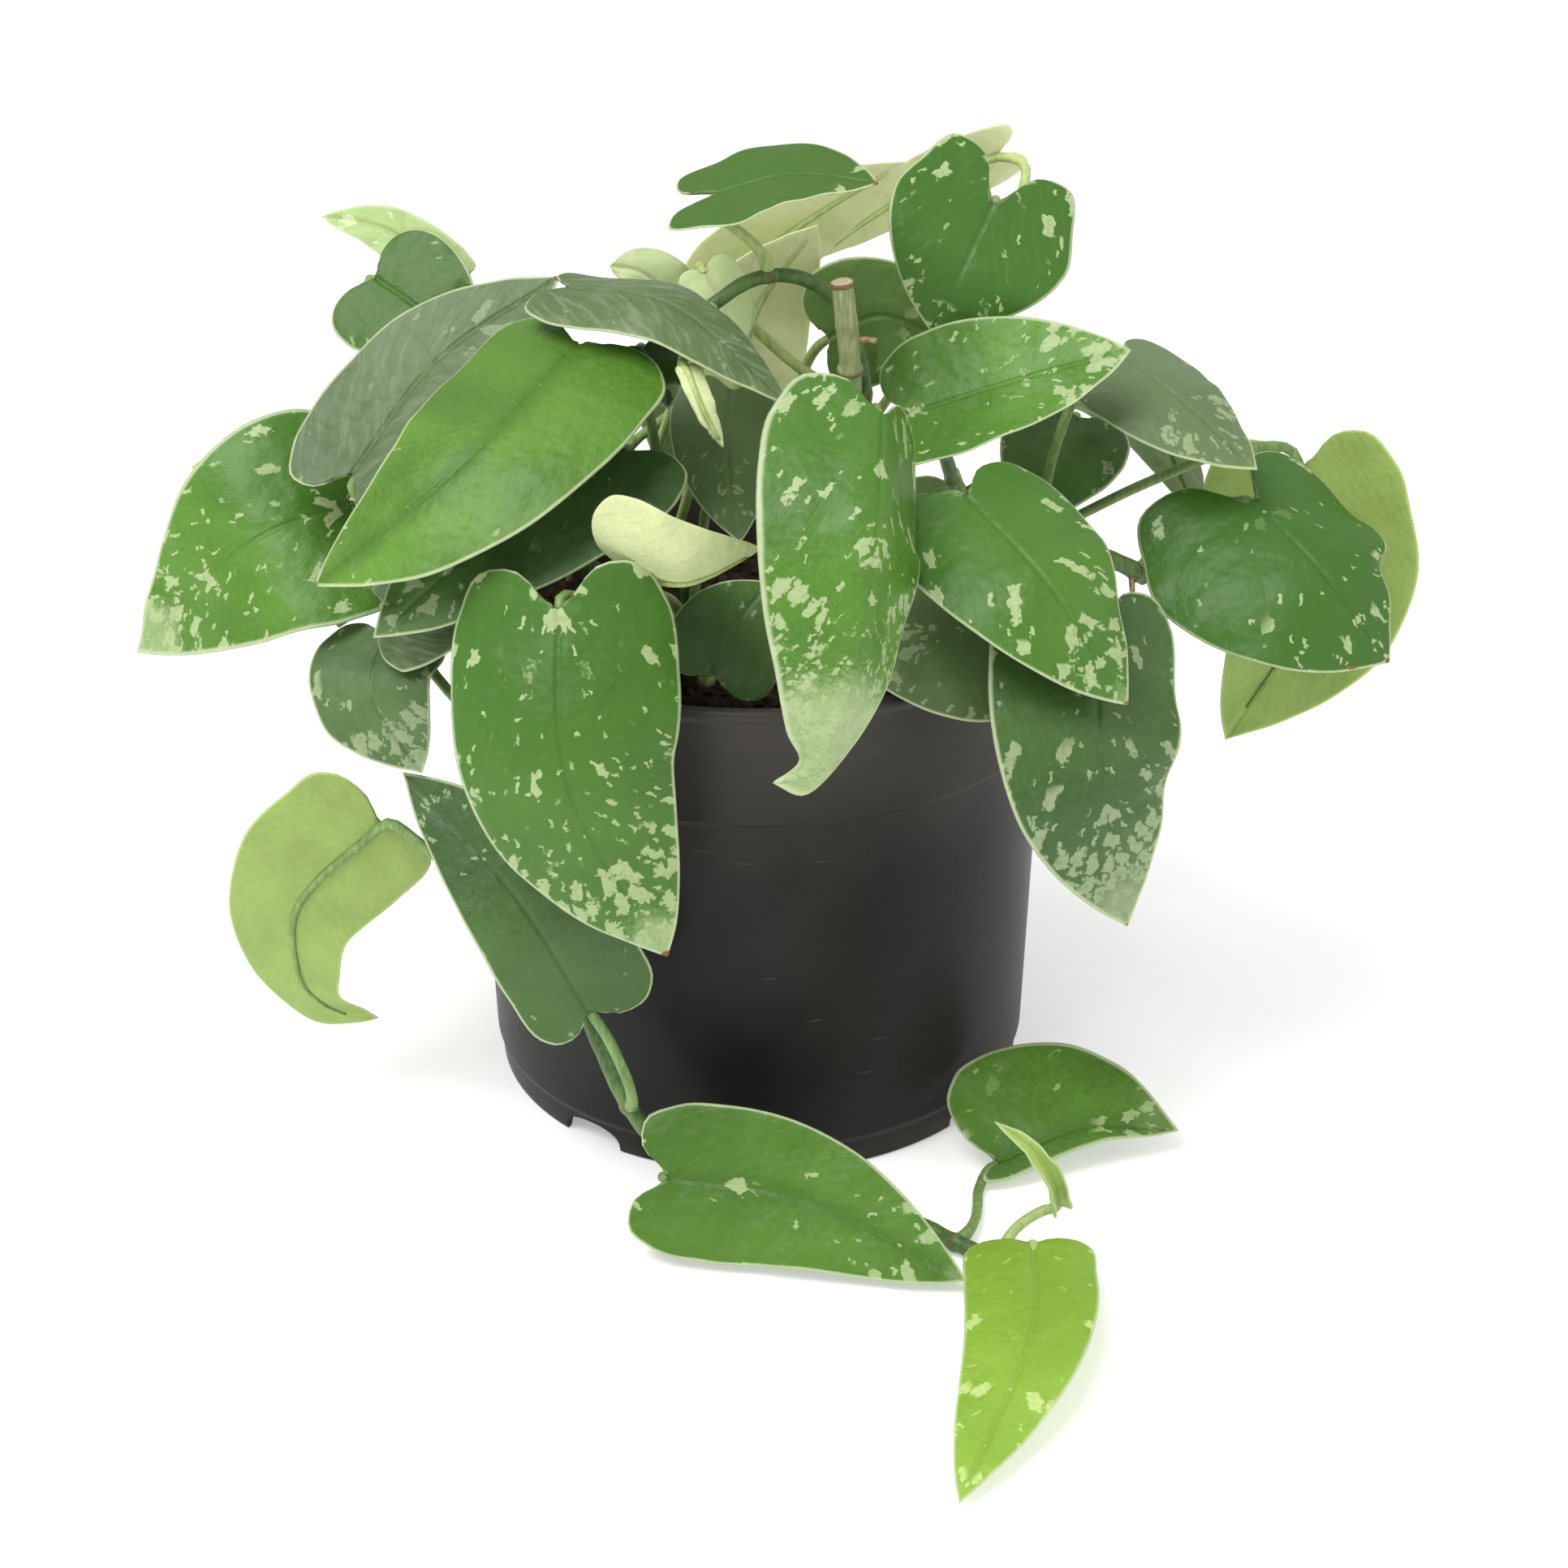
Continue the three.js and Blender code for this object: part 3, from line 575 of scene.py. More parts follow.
def leaf_finish(name, fresh, deep, fleck, under, cover, middle=0.0, grey=0.0, glow=0.12):
    """fresh and deep are the two greens, cover the share of flecks, middle a dark midrib."""
    finish = Finish(name, roughness=0.45, Specular_IOR_Level=0.34, Subsurface_Weight=glow)
    finish.surface.inputs["Subsurface Scale"].default_value = 0.0015
    finish.surface.inputs["Subsurface Radius"].default_value = (0.6, 1.0, 0.3)
    mix, rise, noise, vector = finish.mix, finish.rise, finish.noise, finish.vector
    flat = finish.node("ShaderNodeUVMap", {"uv_map": "flat"})
    across, along, _ = finish.split(flat)
    side = abs(across)
    edge, length, upper = [finish.attribute(name) for name in ("edge", "length", "upper")]
    rich, seed, border = [finish.attribute(name) for name in ("rich", "seed", "border")]
    tone, brown = finish.attribute("tone"), finish.attribute("brown")
    spot = vector(across, along, seed)
    cloud = noise(spot, 0.9, 3.0)
    mottle = noise(spot, 9.0, 4.0)

    # Side veins leave the midrib at a slant and sweep on towards the tip.
    vein = (along - side * VEIN_SLANT) * VEIN_UNIT + cloud * 0.30
    run = (side + along * VEIN_SLANT) * VEIN_UNIT
    lines = 1 - rise(vein.back_and_forth(0.13), 0.0, 0.03)

    # Flecks in two sizes, each from its own cells.
    bend = noise(spot, 4.0, 3.0, "Color")
    bent = finish.scaled(bend, 0.95, 0.95, 0)
    slanted = finish.shifted(vector(vein * 2.9, run * 1.6, seed), bent)
    tipwards = rise(length, 0.3, 0.95)
    margin = (1 - rise(edge, 0.5, 6.5)) * (tipwards * 0.7 + 0.3)
    crowd = tipwards * 0.75 + margin * 0.35 + 0.12
    share = crowd * rich * cover

    def flecks(scale, size, part):
        chance = finish.split(finish.cells(slanted, scale, "Color", "CHEBYCHEV"))[0]
        reach = finish.cells(slanted, scale, "Distance", "CHEBYCHEV")
        filled = rise(share * part - chance, 0.0, 0.03)
        return filled * rise(size - reach - mottle * 0.30, -0.02, 0.05)

    large = flecks(1.0, 0.56, 1.0)
    small = flecks(2.6, 0.50, 0.75)
    wash = length + mottle * 0.12 + large * 0.05 + (border - 1) * 0.24
    tip_wash = rise(wash, 0.94, 1.05) * rise(rich, 0.4, 1.0)
    paint = large.most(small).most(tip_wash * 0.85)
    rim = 1 - rise(edge / border + cloud * 0.5, 0.55, 1.1)

    broad = noise(spot, 0.32, 2.0)
    green = mix(deep, fresh, rise(broad * 0.7 + mottle * 0.3, 0.22, 0.78))
    green = mix(green, deep, (1 - rise(length + cloud * 0.2, 0.1, 0.6)) * 0.45)
    green = mix(green, deep, (1 - rise(side + cloud * 0.2, 0.12, 0.65)) * middle)
    streaks = noise(vector(vein * 9.0, run * 1.2, seed), 1.0, 3.0)
    green = mix(green, fleck, rise(streaks, 0.45, 0.75) * grey)
    darker, lighter = rise(0 - tone, 0.0, 1.0), rise(tone, 0.0, 1.0)
    green = mix(green, deep, darker)
    green = mix(green, fleck, lighter)
    green = mix(green, fresh, lines * 0.07)
    silver = mix(fleck, fresh, rise(mottle, 0.42, 0.75) * 0.35)
    top = mix(green, silver, paint * 0.88)
    top = mix(top, (0.50, 0.58, 0.34), rim * 0.85)

    # The underside, with its darker veins.
    def under_times(share):
        return [min(share * value, 0.9) for value in under]

    below = mix(under_times(0.78), under, rise(cloud * 0.6 + mottle * 0.4, 0.3, 0.7))
    below = mix(below, under_times(0.6), lines * 0.24)
    below = mix(below, fleck, rim * 0.6)
    specks = rise(finish.cells(spot, 1.7), 0.05, 0.03)
    below = mix(below, (0.03, 0.035, 0.015), specks * 0.6)
    below = mix(below, under_times(0.62), darker)
    below = mix(below, under_times(1.35), lighter)
    colour = mix(below, top, upper)
    colour = mix(colour, (0.24, 0.10, 0.045), rise(brown + mottle * 0.3, 0.55, 0.9))
    roughness = mottle * 0.16 + paint * 0.08 + (1 - upper) * 0.12 + 0.34
    swell = noise(spot, 1.3, 2.0) * 4.5 - (1 - rise(side, 0.0, 0.12)) * 1.1
    fine = noise(spot, 40.0, 2.0) * 0.16
    height = swell + mottle * 0.3 - lines * 0.1 + paint * 0.16 + fine
    return finish.wear(colour, roughness, height, 0.00026)


LEAF_FINISHES = {
    "spotted": leaf_finish("leaf_spotted", (0.130, 0.300, 0.032), (0.046, 0.142, 0.013),
                           (0.42, 0.52, 0.26), (0.22, 0.33, 0.10), 0.80),
    "dark": leaf_finish("leaf_dark", (0.090, 0.190, 0.040), (0.034, 0.085, 0.020),
                        (0.32, 0.40, 0.22), (0.16, 0.25, 0.09), 0.55),
    "grey": leaf_finish("leaf_grey", (0.135, 0.205, 0.075), (0.070, 0.125, 0.042),
                        (0.25, 0.31, 0.18), (0.22, 0.30, 0.14), 0.30, grey=0.55),
    # Young pale leaves: their underside colour is raised past their own, as painted light that shines
    # through them.
    "pale": leaf_finish("leaf_pale", (0.50, 0.62, 0.27), (0.38, 0.51, 0.19),
                        (0.66, 0.74, 0.42), (0.76, 0.84, 0.44), 0.30, glow=0.4),
    "lime": leaf_finish("leaf_lime", (0.315, 0.50, 0.062), (0.205, 0.37, 0.035),
                        (0.58, 0.70, 0.26), (0.34, 0.48, 0.12), 0.35, glow=0.3),
    "green": leaf_finish("leaf_green", (0.140, 0.315, 0.034), (0.050, 0.135, 0.010),
                         (0.38, 0.49, 0.23), (0.20, 0.31, 0.09), 0.30, middle=0.55),
}
print(len(LEAF_FINISHES), "leaf finishes")

# %% [markdown]
# ## Which leaf looks how
#
# Each leaf takes one of the six finishes. A few have more flecks than the rest, a brown tip, a scar
# or a wavier edge, as every leaf on the plant has had its own life. Young leaves have pale stalks.

# %% Looks of the leaves
LOOKS = {
    "spotted": "front_left front_centre front_right upper_right crown_heart left_wide right_drooping "
               "back_upper_right back_low_right back_left_side",
    "dark": "centre_shade centre_low right_shoulder centre_round left_small left_upturned "
            "right_hanging left_under front_under right_inner back_low_left",
    "grey": "left_grey left_veined left_arching back_upper_left",
    "pale": "centre_curled crown_pale crown_long crown_veil crown_shoot crown_lobe rolled_bud "
            "left_crown left_far",
    "lime": "floor_lime rolled_spike right_back left_hanging",
    "green": "crown_dark left_broad left_back floor_front floor_right crown_flat back_middle "
             "back_crown back_right_side",
}
look_of = {}
for look, names in LOOKS.items():
    for short in names.split():
        look_of[short if short in frame["nodes"] else short + "_leaf"] = look
assert set(look_of) == set(leaf_names)
# How full of flecks a leaf is, its brown tip, how deep (under 0) or grey (over 0) its green is, and
# how wide its pale border is. What isn't named takes the middle value.
RICH = {"front_centre": 1.6, "front_left": 1.0, "front_right": 0.75, "right_drooping": 0.4,
        "left_wide": 0.85, "front_under": 1.5, "right_hanging": 1.5, "left_small": 1.5,
        "left_broad": 0.3, "crown_flat": 0.15, "floor_front": 0.8, "centre_round": 0.3,
        "centre_low": 0.6, "left_hanging": 0.0, "right_back": 0.0, "rolled_bud": 0.0,
        "centre_curled": 0.15, "rolled_spike": 0.1, "crown_dark": 0.3, "left_upturned": 0.4,
        "crown_heart": 0.5, "upper_right": 0.8}
BROWN_TIP = {"front_left": 1.6, "left_grey": 1.2, "right_drooping": 1.0, "right_hanging": 0.8,
             "front_right": 0.9, "crown_flat": 1.0, "left_broad": 0.8}
TONE = {"right_drooping": -0.9, "crown_heart": -0.8, "crown_flat": -1.0, "centre_low": 0.1,
        "right_shoulder": 0.35, "front_left": -0.6, "left_small": 0.2, "crown_dark": 0.25,
        "front_right": -0.5, "floor_front": -0.45, "floor_right": -0.2, "left_back": -1.0,
        "centre_curled": -0.35, "left_crown": -0.55, "left_wide": -0.25, "left_grey": -0.45,
        "left_hanging": -0.3, "front_under": 0.3, "centre_shade": 0.25, "crown_shoot": 0.9,
        "crown_long": 0.7, "crown_pale": 0.7, "crown_veil": 0.7, "crown_lobe": 0.6,
        "rolled_spike": 0.5, "right_back": -0.3}
BORDER = {"front_centre": 2.2, "floor_right": 1.7, "left_broad": 1.3, "left_wide": 1.7,
          "front_left": 1.3, "right_hanging": 1.5, "centre_shade": 0.6, "centre_low": 0.5}
PALE_STALKS = ("crown", "rolled", "floor_lime", "centre_curled")
SCARS = {"right_drooping": (0.83, 0.93, 1.2)}
WAVY = {"right_drooping": 1.0, "right_hanging": 0.8, "left_wide": 0.5, "back_low_right": 0.9}
print({look: len(names.split()) for look, names in LOOKS.items()})

# %% [markdown]
# ## Making a fine leaf
#
# A leaf blade is a thin sheet, about 0.8 mm thick, with a rounded edge, a groove over the rib and
# a ridge under it. From each coarse ring come five points across the middle of the sheet. Smooth
# curves through them give rows and columns as fine as needed. The sheet is then pushed out to
# both sides by half its thickness, which falls to nothing at the edge, so the two sides meet.

# %% Blade
HALF_COLUMNS = [0.03, 0.075, 0.14, 0.22, 0.31, 0.41, 0.51, 0.61, 0.71, 0.80, 0.88, 0.94, 0.98, 1.0]
COLUMNS = np.array([-s for s in reversed(HALF_COLUMNS)] + [0.0] + HALF_COLUMNS)
ROWS = 60
BLADE = 0.8 * MM


def read_leaf(node):
    """The stalk's centres and radii, and the blade's rings turned so that ring point 0 is a margin
    and points 1 to 3 are on the upper side."""
    first, rings, tip = rings_of(node)
    blade = rings[5:]
    spread = [np.linalg.norm(blade[4][k] - blade[4][k + 4]) for k in range(4)]
    turn = int(np.argmax(spread))
    order = (np.arange(SIDES) + turn) % SIDES
    arriving = blade[0].mean(axis=0) - rings[4].mean(axis=0)
    towards_top = blade[3][order[2]] - blade[3][order[6]]
    if arriving @ towards_top < 0:
        order = (order + 4) % SIDES
    stalk = np.array([first] + [ring.mean(axis=0) for ring in rings[:5]])
    radius = np.linalg.norm(rings[:5] - rings[:5].mean(axis=1, keepdims=True), axis=2).mean()
    return stalk, radius, blade[:, order], tip


def blade_sheet(blade, tip):
    """The middle of the sheet as rows and columns of points."""
    middle = np.stack(
        [blade[:, 0], (blade[:, 1] + blade[:, 7]) / 2, (blade[:, 2] + blade[:, 6]) / 2,
         (blade[:, 3] + blade[:, 5]) / 2, blade[:, 4]], axis=1)
    middle = np.concatenate([middle, np.repeat(tip[None, None], 5, axis=1)])
    knots = spacing(middle)
    at = knots[-1] * (1 - (1 - np.linspace(0, 1, ROWS)) ** 1.15)
    rows = smooth(middle, knots, at)
    width = np.array([-1.0, -0.5, 0.0, 0.5, 1.0])
    sheet = smooth(np.swapaxes(rows, 0, 1), width, COLUMNS)
    return np.swapaxes(sheet, 0, 1)


def sheet_normals(sheet):
    along = np.gradient(sheet, axis=0)
    across = np.gradient(sheet, axis=1)
    normal = unit(np.cross(across, along))
    normal[-1] = normal[-2]
    return normal


def measure_sheet(sheet):
    """Flat measures of each point, in centimetres, and its distance to the edge in millimetres."""
    steps = np.linalg.norm(np.diff(sheet, axis=1), axis=2)
    reach = np.concatenate([np.zeros((len(sheet), 1)), np.cumsum(steps, axis=1)], axis=1)
    edge = np.minimum(reach, reach[:, -1:] - reach) / MM
    centre = len(COLUMNS) // 2
    rib = sheet[:, centre]
    rib_length = spacing(rib)
    ahead = unit(np.gradient(rib, axis=0))
    lag = np.einsum("rcx,rx->rc", sheet - rib[:, None], ahead)
    out = reach - reach[:, centre:centre + 1]
    across = np.sign(out) * np.sqrt(np.maximum(out**2 - lag**2, 0))
    return across / CM, (rib_length[:, None] + lag) / CM, edge, rib_length / rib_length[-1]


def wave_edge(sheet, normal, amount, turn):
    """A gentle wave that grows towards the margin."""
    rows = np.linspace(0, 1, len(sheet))[:, None]
    outer = np.clip(np.abs(COLUMNS)[None] - 0.3, 0, 1) ** 1.5
    ends = np.sin(np.pi * np.clip(rows, 0, 1)) ** 0.7
    wave = np.sin(rows * 21 + COLUMNS[None] * 1.5 + turn)
    wave = wave + 0.6 * np.sin(rows * 37 - COLUMNS[None] + 2 * turn)
    return sheet + normal * (wave * outer * ends * amount)[..., None]


print(len(COLUMNS), "columns by", ROWS, "rows")

# %% Blade as a closed mesh
def blade_mesh(sheet, normal):
    """Points and faces of both sides of the sheet, joined along the margin, and which side each
    point is on. Row and column of every point come back as well."""
    count = len(COLUMNS)
    thickness = BLADE / 2 * np.sqrt(np.clip(1 - np.abs(COLUMNS) ** 14, 0, 1))[None]
    narrowing = np.linspace(1.15, 0.55, len(sheet))[:, None]
    half = thickness * narrowing
    fading = np.linspace(1, 0.2, len(sheet))[:, None]
    groove = 0.22 * MM * np.exp(-((COLUMNS / 0.05) ** 2))[None] * fading
    top = sheet + normal * (half - groove)[..., None]
    bottom = sheet - normal * (half + groove * 0.4)[..., None]
    rows = len(sheet) - 1
    points, owners = [], []
    upper = -np.ones((rows, count), int)
    lower = -np.ones((rows, count), int)
    for r in range(rows):
        for c in range(count):
            rim = c in (0, count - 1)
            upper[r, c] = len(points)
            points.append(sheet[r, c] if rim else top[r, c])
            owners.append((r, c, 0.5 if rim else 1.0))
            if rim:
                lower[r, c] = upper[r, c]
            else:
                lower[r, c] = len(points)
                points.append(bottom[r, c])
                owners.append((r, c, 0.0))
    tip = len(points)
    points.append(sheet[-1, count // 2])
    owners.append((rows, count // 2, 0.5))
    faces, sides = [], []
    for r in range(rows - 1):
        for c in range(count - 1):
            a, b = c, c + 1
            for grid, flip, side in ((upper, False, 1), (lower, True, 0)):
                corners = [grid[r, a], grid[r, b], grid[r + 1, b], grid[r + 1, a]]
                faces.append(corners[::-1] if flip else corners)
                sides.append(side)
    for c in range(count - 1):
        faces.append([upper[-1, c], upper[-1, c + 1], tip])
        faces.append([lower[-1, c + 1], lower[-1, c], tip])
        faces.append([lower[0, c], lower[0, c + 1], upper[0, c + 1], upper[0, c]])
        sides += [1, 0, 1]
    faces = [list(dict.fromkeys(face)) for face in faces]
    return np.array(points), faces, np.array(owners), np.array(sides)


print("the two sides meet at the margin and the tip")

# %% Stalk and rib
def stalk_line(stalk, radius, sheet, normal, into):
    """The stalk from inside the vine to the blade, then the rib under the blade, tapering."""
    centre = len(COLUMNS) // 2
    rib = sheet[:, centre]
    share = spacing(rib) / spacing(rib)[-1]
    keep = (share > 0.03) & (share < 0.93)
    taper = radius * (1 - share[keep]) ** 0.9 * 0.62 + 0.22 * MM
    under = rib[keep] - normal[keep, centre] * (taper * 0.78 + 0.12 * MM)[:, None]
    path = np.concatenate([stalk[:1] - into, stalk, under[::3]])
    thick = np.concatenate([np.full(len(stalk) + 1, radius), taper[::3]])
    knots = spacing(path)
    at = np.linspace(0, knots[-1], 46)
    line = smooth(path, knots, at)
    thickness = np.interp(at, knots, thick)
    foot = at - knots[1]
    thickness *= 1 + 0.30 * np.exp(-((foot / (3 * MM)) ** 2))
    return line, thickness


def add_arrays(parts):
    """Joins several (points, faces) lists into one."""
    points, faces, start = [], [], 0
    for part_points, part_faces in parts:
        points.append(part_points)
        faces += [[start + k for k in face] for face in part_faces]
        start += len(part_points)
    return np.concatenate(points), faces


print("stalks run on as ribs")

# %% Build every leaf
def nearest_vine_step(foot):
    """From the stalk's foot to the middle of the vine that it stands on."""
    away = {name: np.linalg.norm(line - foot, axis=1) for name, line in vine_lines.items()}
    nearest = min(away, key=lambda name: (away[name].min(), name))
    line, at = vine_lines[nearest], int(np.argmin(away[nearest]))
    joints[nearest].append(at)
    return (foot - line[at]) * 0.6


def read_vine(node):
    first, rings, last = rings_of(node)
    centres = np.concatenate([[first], rings.mean(axis=1), [last]])
    radius = np.linalg.norm(rings - rings.mean(axis=1, keepdims=True), axis=2).mean(axis=1)
    return centres, np.concatenate([radius[:1], radius, radius[-1:]])


VINE_STEP = 0.7 * MM
vine_lines, vine_radii, joints = {}, {}, {}
for node in vine_names:
    centres, radius = read_vine(node)
    if centres[0][2] > centres[-1][2] + 0.02 and node != "trailing_vine":
        centres, radius = centres[::-1], radius[::-1]
    knots = spacing(centres)
    at = np.arange(0, knots[-1], VINE_STEP)
    vine_lines[node] = smooth(centres, knots, at)
    vine_radii[node] = np.interp(at, knots, radius)
    joints[node] = []
lengths = {name: round(float(spacing(line)[-1] / MM)) for name, line in vine_lines.items()}
print(lengths, "mm long")


def build_leaf(node, number):
    """One fine leaf, with its blade and stalk in one mesh."""
    short = node.replace("_leaf", "")
    stalk, radius, blade, tip = read_leaf(node)
    sheet = blade_sheet(blade, tip)
    normal = sheet_normals(sheet)
    towards_top = (blade[3][2] - blade[3][6]) @ normal[ROWS // 3, len(COLUMNS) // 2]
    if towards_top < 0:
        sheet = sheet[:, ::-1]
        normal = sheet_normals(sheet)
    across, along, edge, length = measure_sheet(sheet)
    sheet = wave_edge(sheet, normal, (0.25 + 0.9 * WAVY.get(short, 0.2)) * MM, number * 1.7)
    normal = sheet_normals(sheet)
    points, faces, owners, sides = blade_mesh(sheet, normal)
    line, thickness = stalk_line(stalk, radius, sheet, normal, nearest_vine_step(stalk[0]))
    source = chain(line, thickness, np.zeros(len(line)))
    stalk_colour = STALK_PALE if short.startswith(PALE_STALKS) else STALK_GREEN
    stem = grow("stalk", source, STALK, Sides=12, Swelling=0.0, Finish=stalk_colour)
    stem_points, stem_faces = arrays_of(stem)
    bpy.data.meshes.remove(stem)
    all_points, all_faces = add_arrays([(points, faces), (stem_points, stem_faces)])
    mesh = bpy.data.meshes.new(node)
    mesh.from_pydata(all_points.tolist(), [], all_faces)
    r, c = owners[:, 0].astype(int), owners[:, 1].astype(int)
    extra = np.zeros(len(stem_points))
    fill = lambda values: np.concatenate([values, extra])
    tip_distance = np.linalg.norm(points - sheet[-1, 0], axis=1) / MM
    brown = BROWN_TIP.get(short, 0.35) * np.exp(-((tip_distance / 1.8) ** 2))
    if short in SCARS:
        at, out, strength = SCARS[short]
        away = ((length - at) / 0.03)[:, None] ** 2 + ((COLUMNS[None] - out) / 0.05) ** 2
        brown = np.maximum(brown, (strength * np.exp(-away))[r, c])
    point_values(mesh, "edge", fill(edge[r, c]))
    point_values(mesh, "length", fill(length[r]))
    point_values(mesh, "brown", fill(brown))
    for title, looks, usual in (("rich", RICH, 0.6), ("tone", TONE, 0.0), ("border", BORDER, 1.0)):
        point_values(mesh, title, np.full(len(all_points), looks.get(short, usual)))
    point_values(mesh, "seed", np.full(len(all_points), number * 3.17))
    point_values(mesh, "joint", np.zeros(len(all_points)))
    flat = np.zeros((len(all_points), 2))
    flat[: len(points), 0] = across[r, c]
    flat[: len(points), 1] = along[r, c]
    corner = np.empty(len(mesh.loops), int)
    mesh.loops.foreach_get("vertex_index", corner)
    mesh.uv_layers.new(name="flat").data.foreach_set("uv", flat[corner].ravel())
    upper = np.concatenate([sides, np.zeros(len(stem_faces))])
    point_values(mesh, "upper", upper, "FACE")
    mesh.materials.append(LEAF_FINISHES[look_of[node]])
    mesh.materials.append(stalk_colour)
    kind = np.concatenate([np.zeros(len(faces), int), np.ones(len(stem_faces), int)])
    mesh.polygons.foreach_set("material_index", kind.astype(np.int32))
    shade_smooth(mesh)
    mesh.update()
    leaf = show(node + "_fine", mesh)
    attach(leaf, "root")
    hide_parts(node)
    return leaf


leaves = [build_leaf(node, number) for number, node in enumerate(leaf_names)]
print(len(leaves), "leaves,", sum(len(l.data.polygons) for l in leaves), "faces")

# %% [markdown]
# ## Vines
#
# A vine is the stalk tree again, thicker, with a joint wherever a leaf stands on it.

# %% Build the vines
def build_vine(node):
    line, radius = vine_lines[node], vine_radii[node].copy()
    extra = (0.5, 0.78) if node == "stub_vine" else (0.5,)
    joints[node] += [int(len(line) * share) for share in extra]
    joint = np.zeros(len(line))
    length = spacing(line)
    for at in joints[node]:
        joint = np.maximum(joint, np.exp(-(((length - length[at]) / (1.1 * MM)) ** 2)))
    wobble = 1 + 0.03 * np.sin(length / (2.3 * MM)) + 0.02 * np.sin(length / (0.9 * MM) + 1)
    source = chain(line, radius * wobble, joint)
    colour = STEM_TAN if node == "stub_vine" else STEM_GREEN
    made = grow(node + "_fine", source, STALK, Sides=20, Swelling=0.22, Finish=colour)
    vine = show(node + "_fine", made)
    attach(vine, "root")
    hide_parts(node)
    return vine


vines = [build_vine(node) for node in vine_names]
print(len(vines), "vines,", sum(len(v.data.polygons) for v in vines), "faces")

# %% [markdown]
# ## Cut end and aerial roots
#
# One vine was cut off short. Its dry end is tan, with a darker rim and faint rings. Small tan
# stubs of aerial roots stand at some joints. A stub is a very short stalk that thins out, so the
# stalk tree makes them all from one chain of points each.

# %% Cut end
def cut_finish():
    finish = Finish("cut_end", roughness=0.8, Specular_IOR_Level=0.25)
    place = finish.place()
    ring = finish.attribute("ring")
    grain = finish.noise(place, 900.0, 4.0)
    waves = finish.rise((ring + grain * 0.12).back_and_forth(0.14), 0.02, 0.10)
    colour = finish.mix((0.56, 0.43, 0.27), (0.72, 0.62, 0.44), waves)
    colour = finish.mix(colour, (0.24, 0.15, 0.07), finish.rise(ring + grain * 0.2, 0.92, 1.08))
    return finish.wear(colour, grain * 0.2 + 0.7, waves * 0.5 + grain * 0.7, 0.00025)


def cut_disc(line, radius):
    """A slightly hollow disc on the end of a vine."""
    ahead = unit(line[-1] - line[-4])
    side = unit(np.cross(ahead, (0.3, 1.0, 0.2)))
    other = np.cross(ahead, side)
    shares = [0.25, 0.5, 0.72, 0.88, 0.97, 1.0, 0.98, 0.7]
    rise = [0.2, 0.3, 0.42, 0.55, 0.5, 0.3, -0.6, -0.7]
    middle, back = 0.25, -0.7
    points, marks, faces, count = [], [], [], 28
    for share, up in zip(shares, rise):
        for k in range(count):
            turn = 2 * math.pi * k / count
            uneven = 1 + 0.03 * math.sin(3 * turn) + 0.02 * math.sin(7 * turn)
            out = radius * 1.06 * share * uneven
            place = line[-1] + side * out * math.cos(turn) + other * out * math.sin(turn)
            points.append(place + ahead * up * MM)
            marks.append(share)
    start, end = len(points), len(points) + 1
    points += [line[-1] + ahead * middle * MM, line[-1] + ahead * back * MM]
    marks += [0.0, 0.0]
    outer = (len(shares) - 1) * count
    for k in range(count):
        n = (k + 1) % count
        faces.append((start, k, n))
        for at in range(0, outer, count):
            faces.append((at + k, at + count + k, at + count + n, at + n))
        faces.append((end, outer + n, outer + k))
    mesh = bpy.data.meshes.new("stub_cut")
    mesh.from_pydata([tuple(p) for p in points], [], faces)
    point_values(mesh, "ring", marks)
    shade_smooth(mesh)
    mesh.materials.append(cut_finish())
    shape = bmesh.new()
    shape.from_mesh(mesh)
    bmesh.ops.recalc_face_normals(shape, faces=shape.faces[:])
    shape.to_mesh(mesh)
    shape.free()
    return mesh


cut = show("stub_cut", cut_disc(vine_lines["stub_vine"], vine_radii["stub_vine"][-1]))
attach(cut, "root")
print("cut end:", len(cut.data.polygons), "faces")

# %% Aerial roots
def root_chain(vine, share, way, length):
    """The points of one aerial root, from inside the vine outwards."""
    line = vine_lines[vine]
    start = line[int(share * (len(line) - 1))]
    way = unit(np.array(way, float))
    t = np.linspace(0, 1, 9)[:, None]
    sag = np.array([0, 0, -1.0]) * (t**2) * length * 0.35
    points = start + way * t * length + sag
    thick = (0.95 - 0.35 * t[:, 0] + 0.25 * np.exp(-(((t[:, 0] - 0.95) / 0.1) ** 2))) * MM
    return points, thick


# vine, share of its length, direction, length in millimetres
ROOTS = [
    ("stub_vine", 0.86, (1.0, -0.2, 0.5), 7.5),
    ("left_vine", 0.97, (-0.3, -0.5, -1.0), 9),
    ("right_vine", 0.95, (0.1, -0.4, -1.0), 6),
    ("left_vine", 0.6, (0.2, -0.6, -0.9), 5),
    ("right_vine", 0.5, (-0.2, 0.5, -1.0), 5),
    ("back_left_vine", 0.6, (-0.2, 0.9, -0.6), 6),
    ("back_right_vine", 0.65, (0.4, 0.9, -0.5), 6),
    ("top_vine", 0.5, (-0.8, 0.3, 0.1), 4.5),
    ("trailing_vine", 0.55, (-0.9, 0.1, -0.3), 5),
    ("trailing_vine", 0.86, (0.2, 0.5, 0.0), 4),
]
parts = []
for vine, share, way, length in ROOTS:
    points, thick = root_chain(vine, share, way, length * MM)
    source = chain(points, thick, np.zeros(len(points)))
    stub = grow("root", source, STALK, Sides=10, Swelling=0.0, Finish=DRY_ROOT)
    parts.append(arrays_of(stub))
    bpy.data.meshes.remove(stub)
root_points, root_faces = add_arrays(parts)
root_mesh = bpy.data.meshes.new("aerial_roots")
root_mesh.from_pydata(root_points.tolist(), [], root_faces)
shade_smooth(root_mesh)
root_mesh.materials.append(DRY_ROOT)
roots = show("aerial_roots", root_mesh)
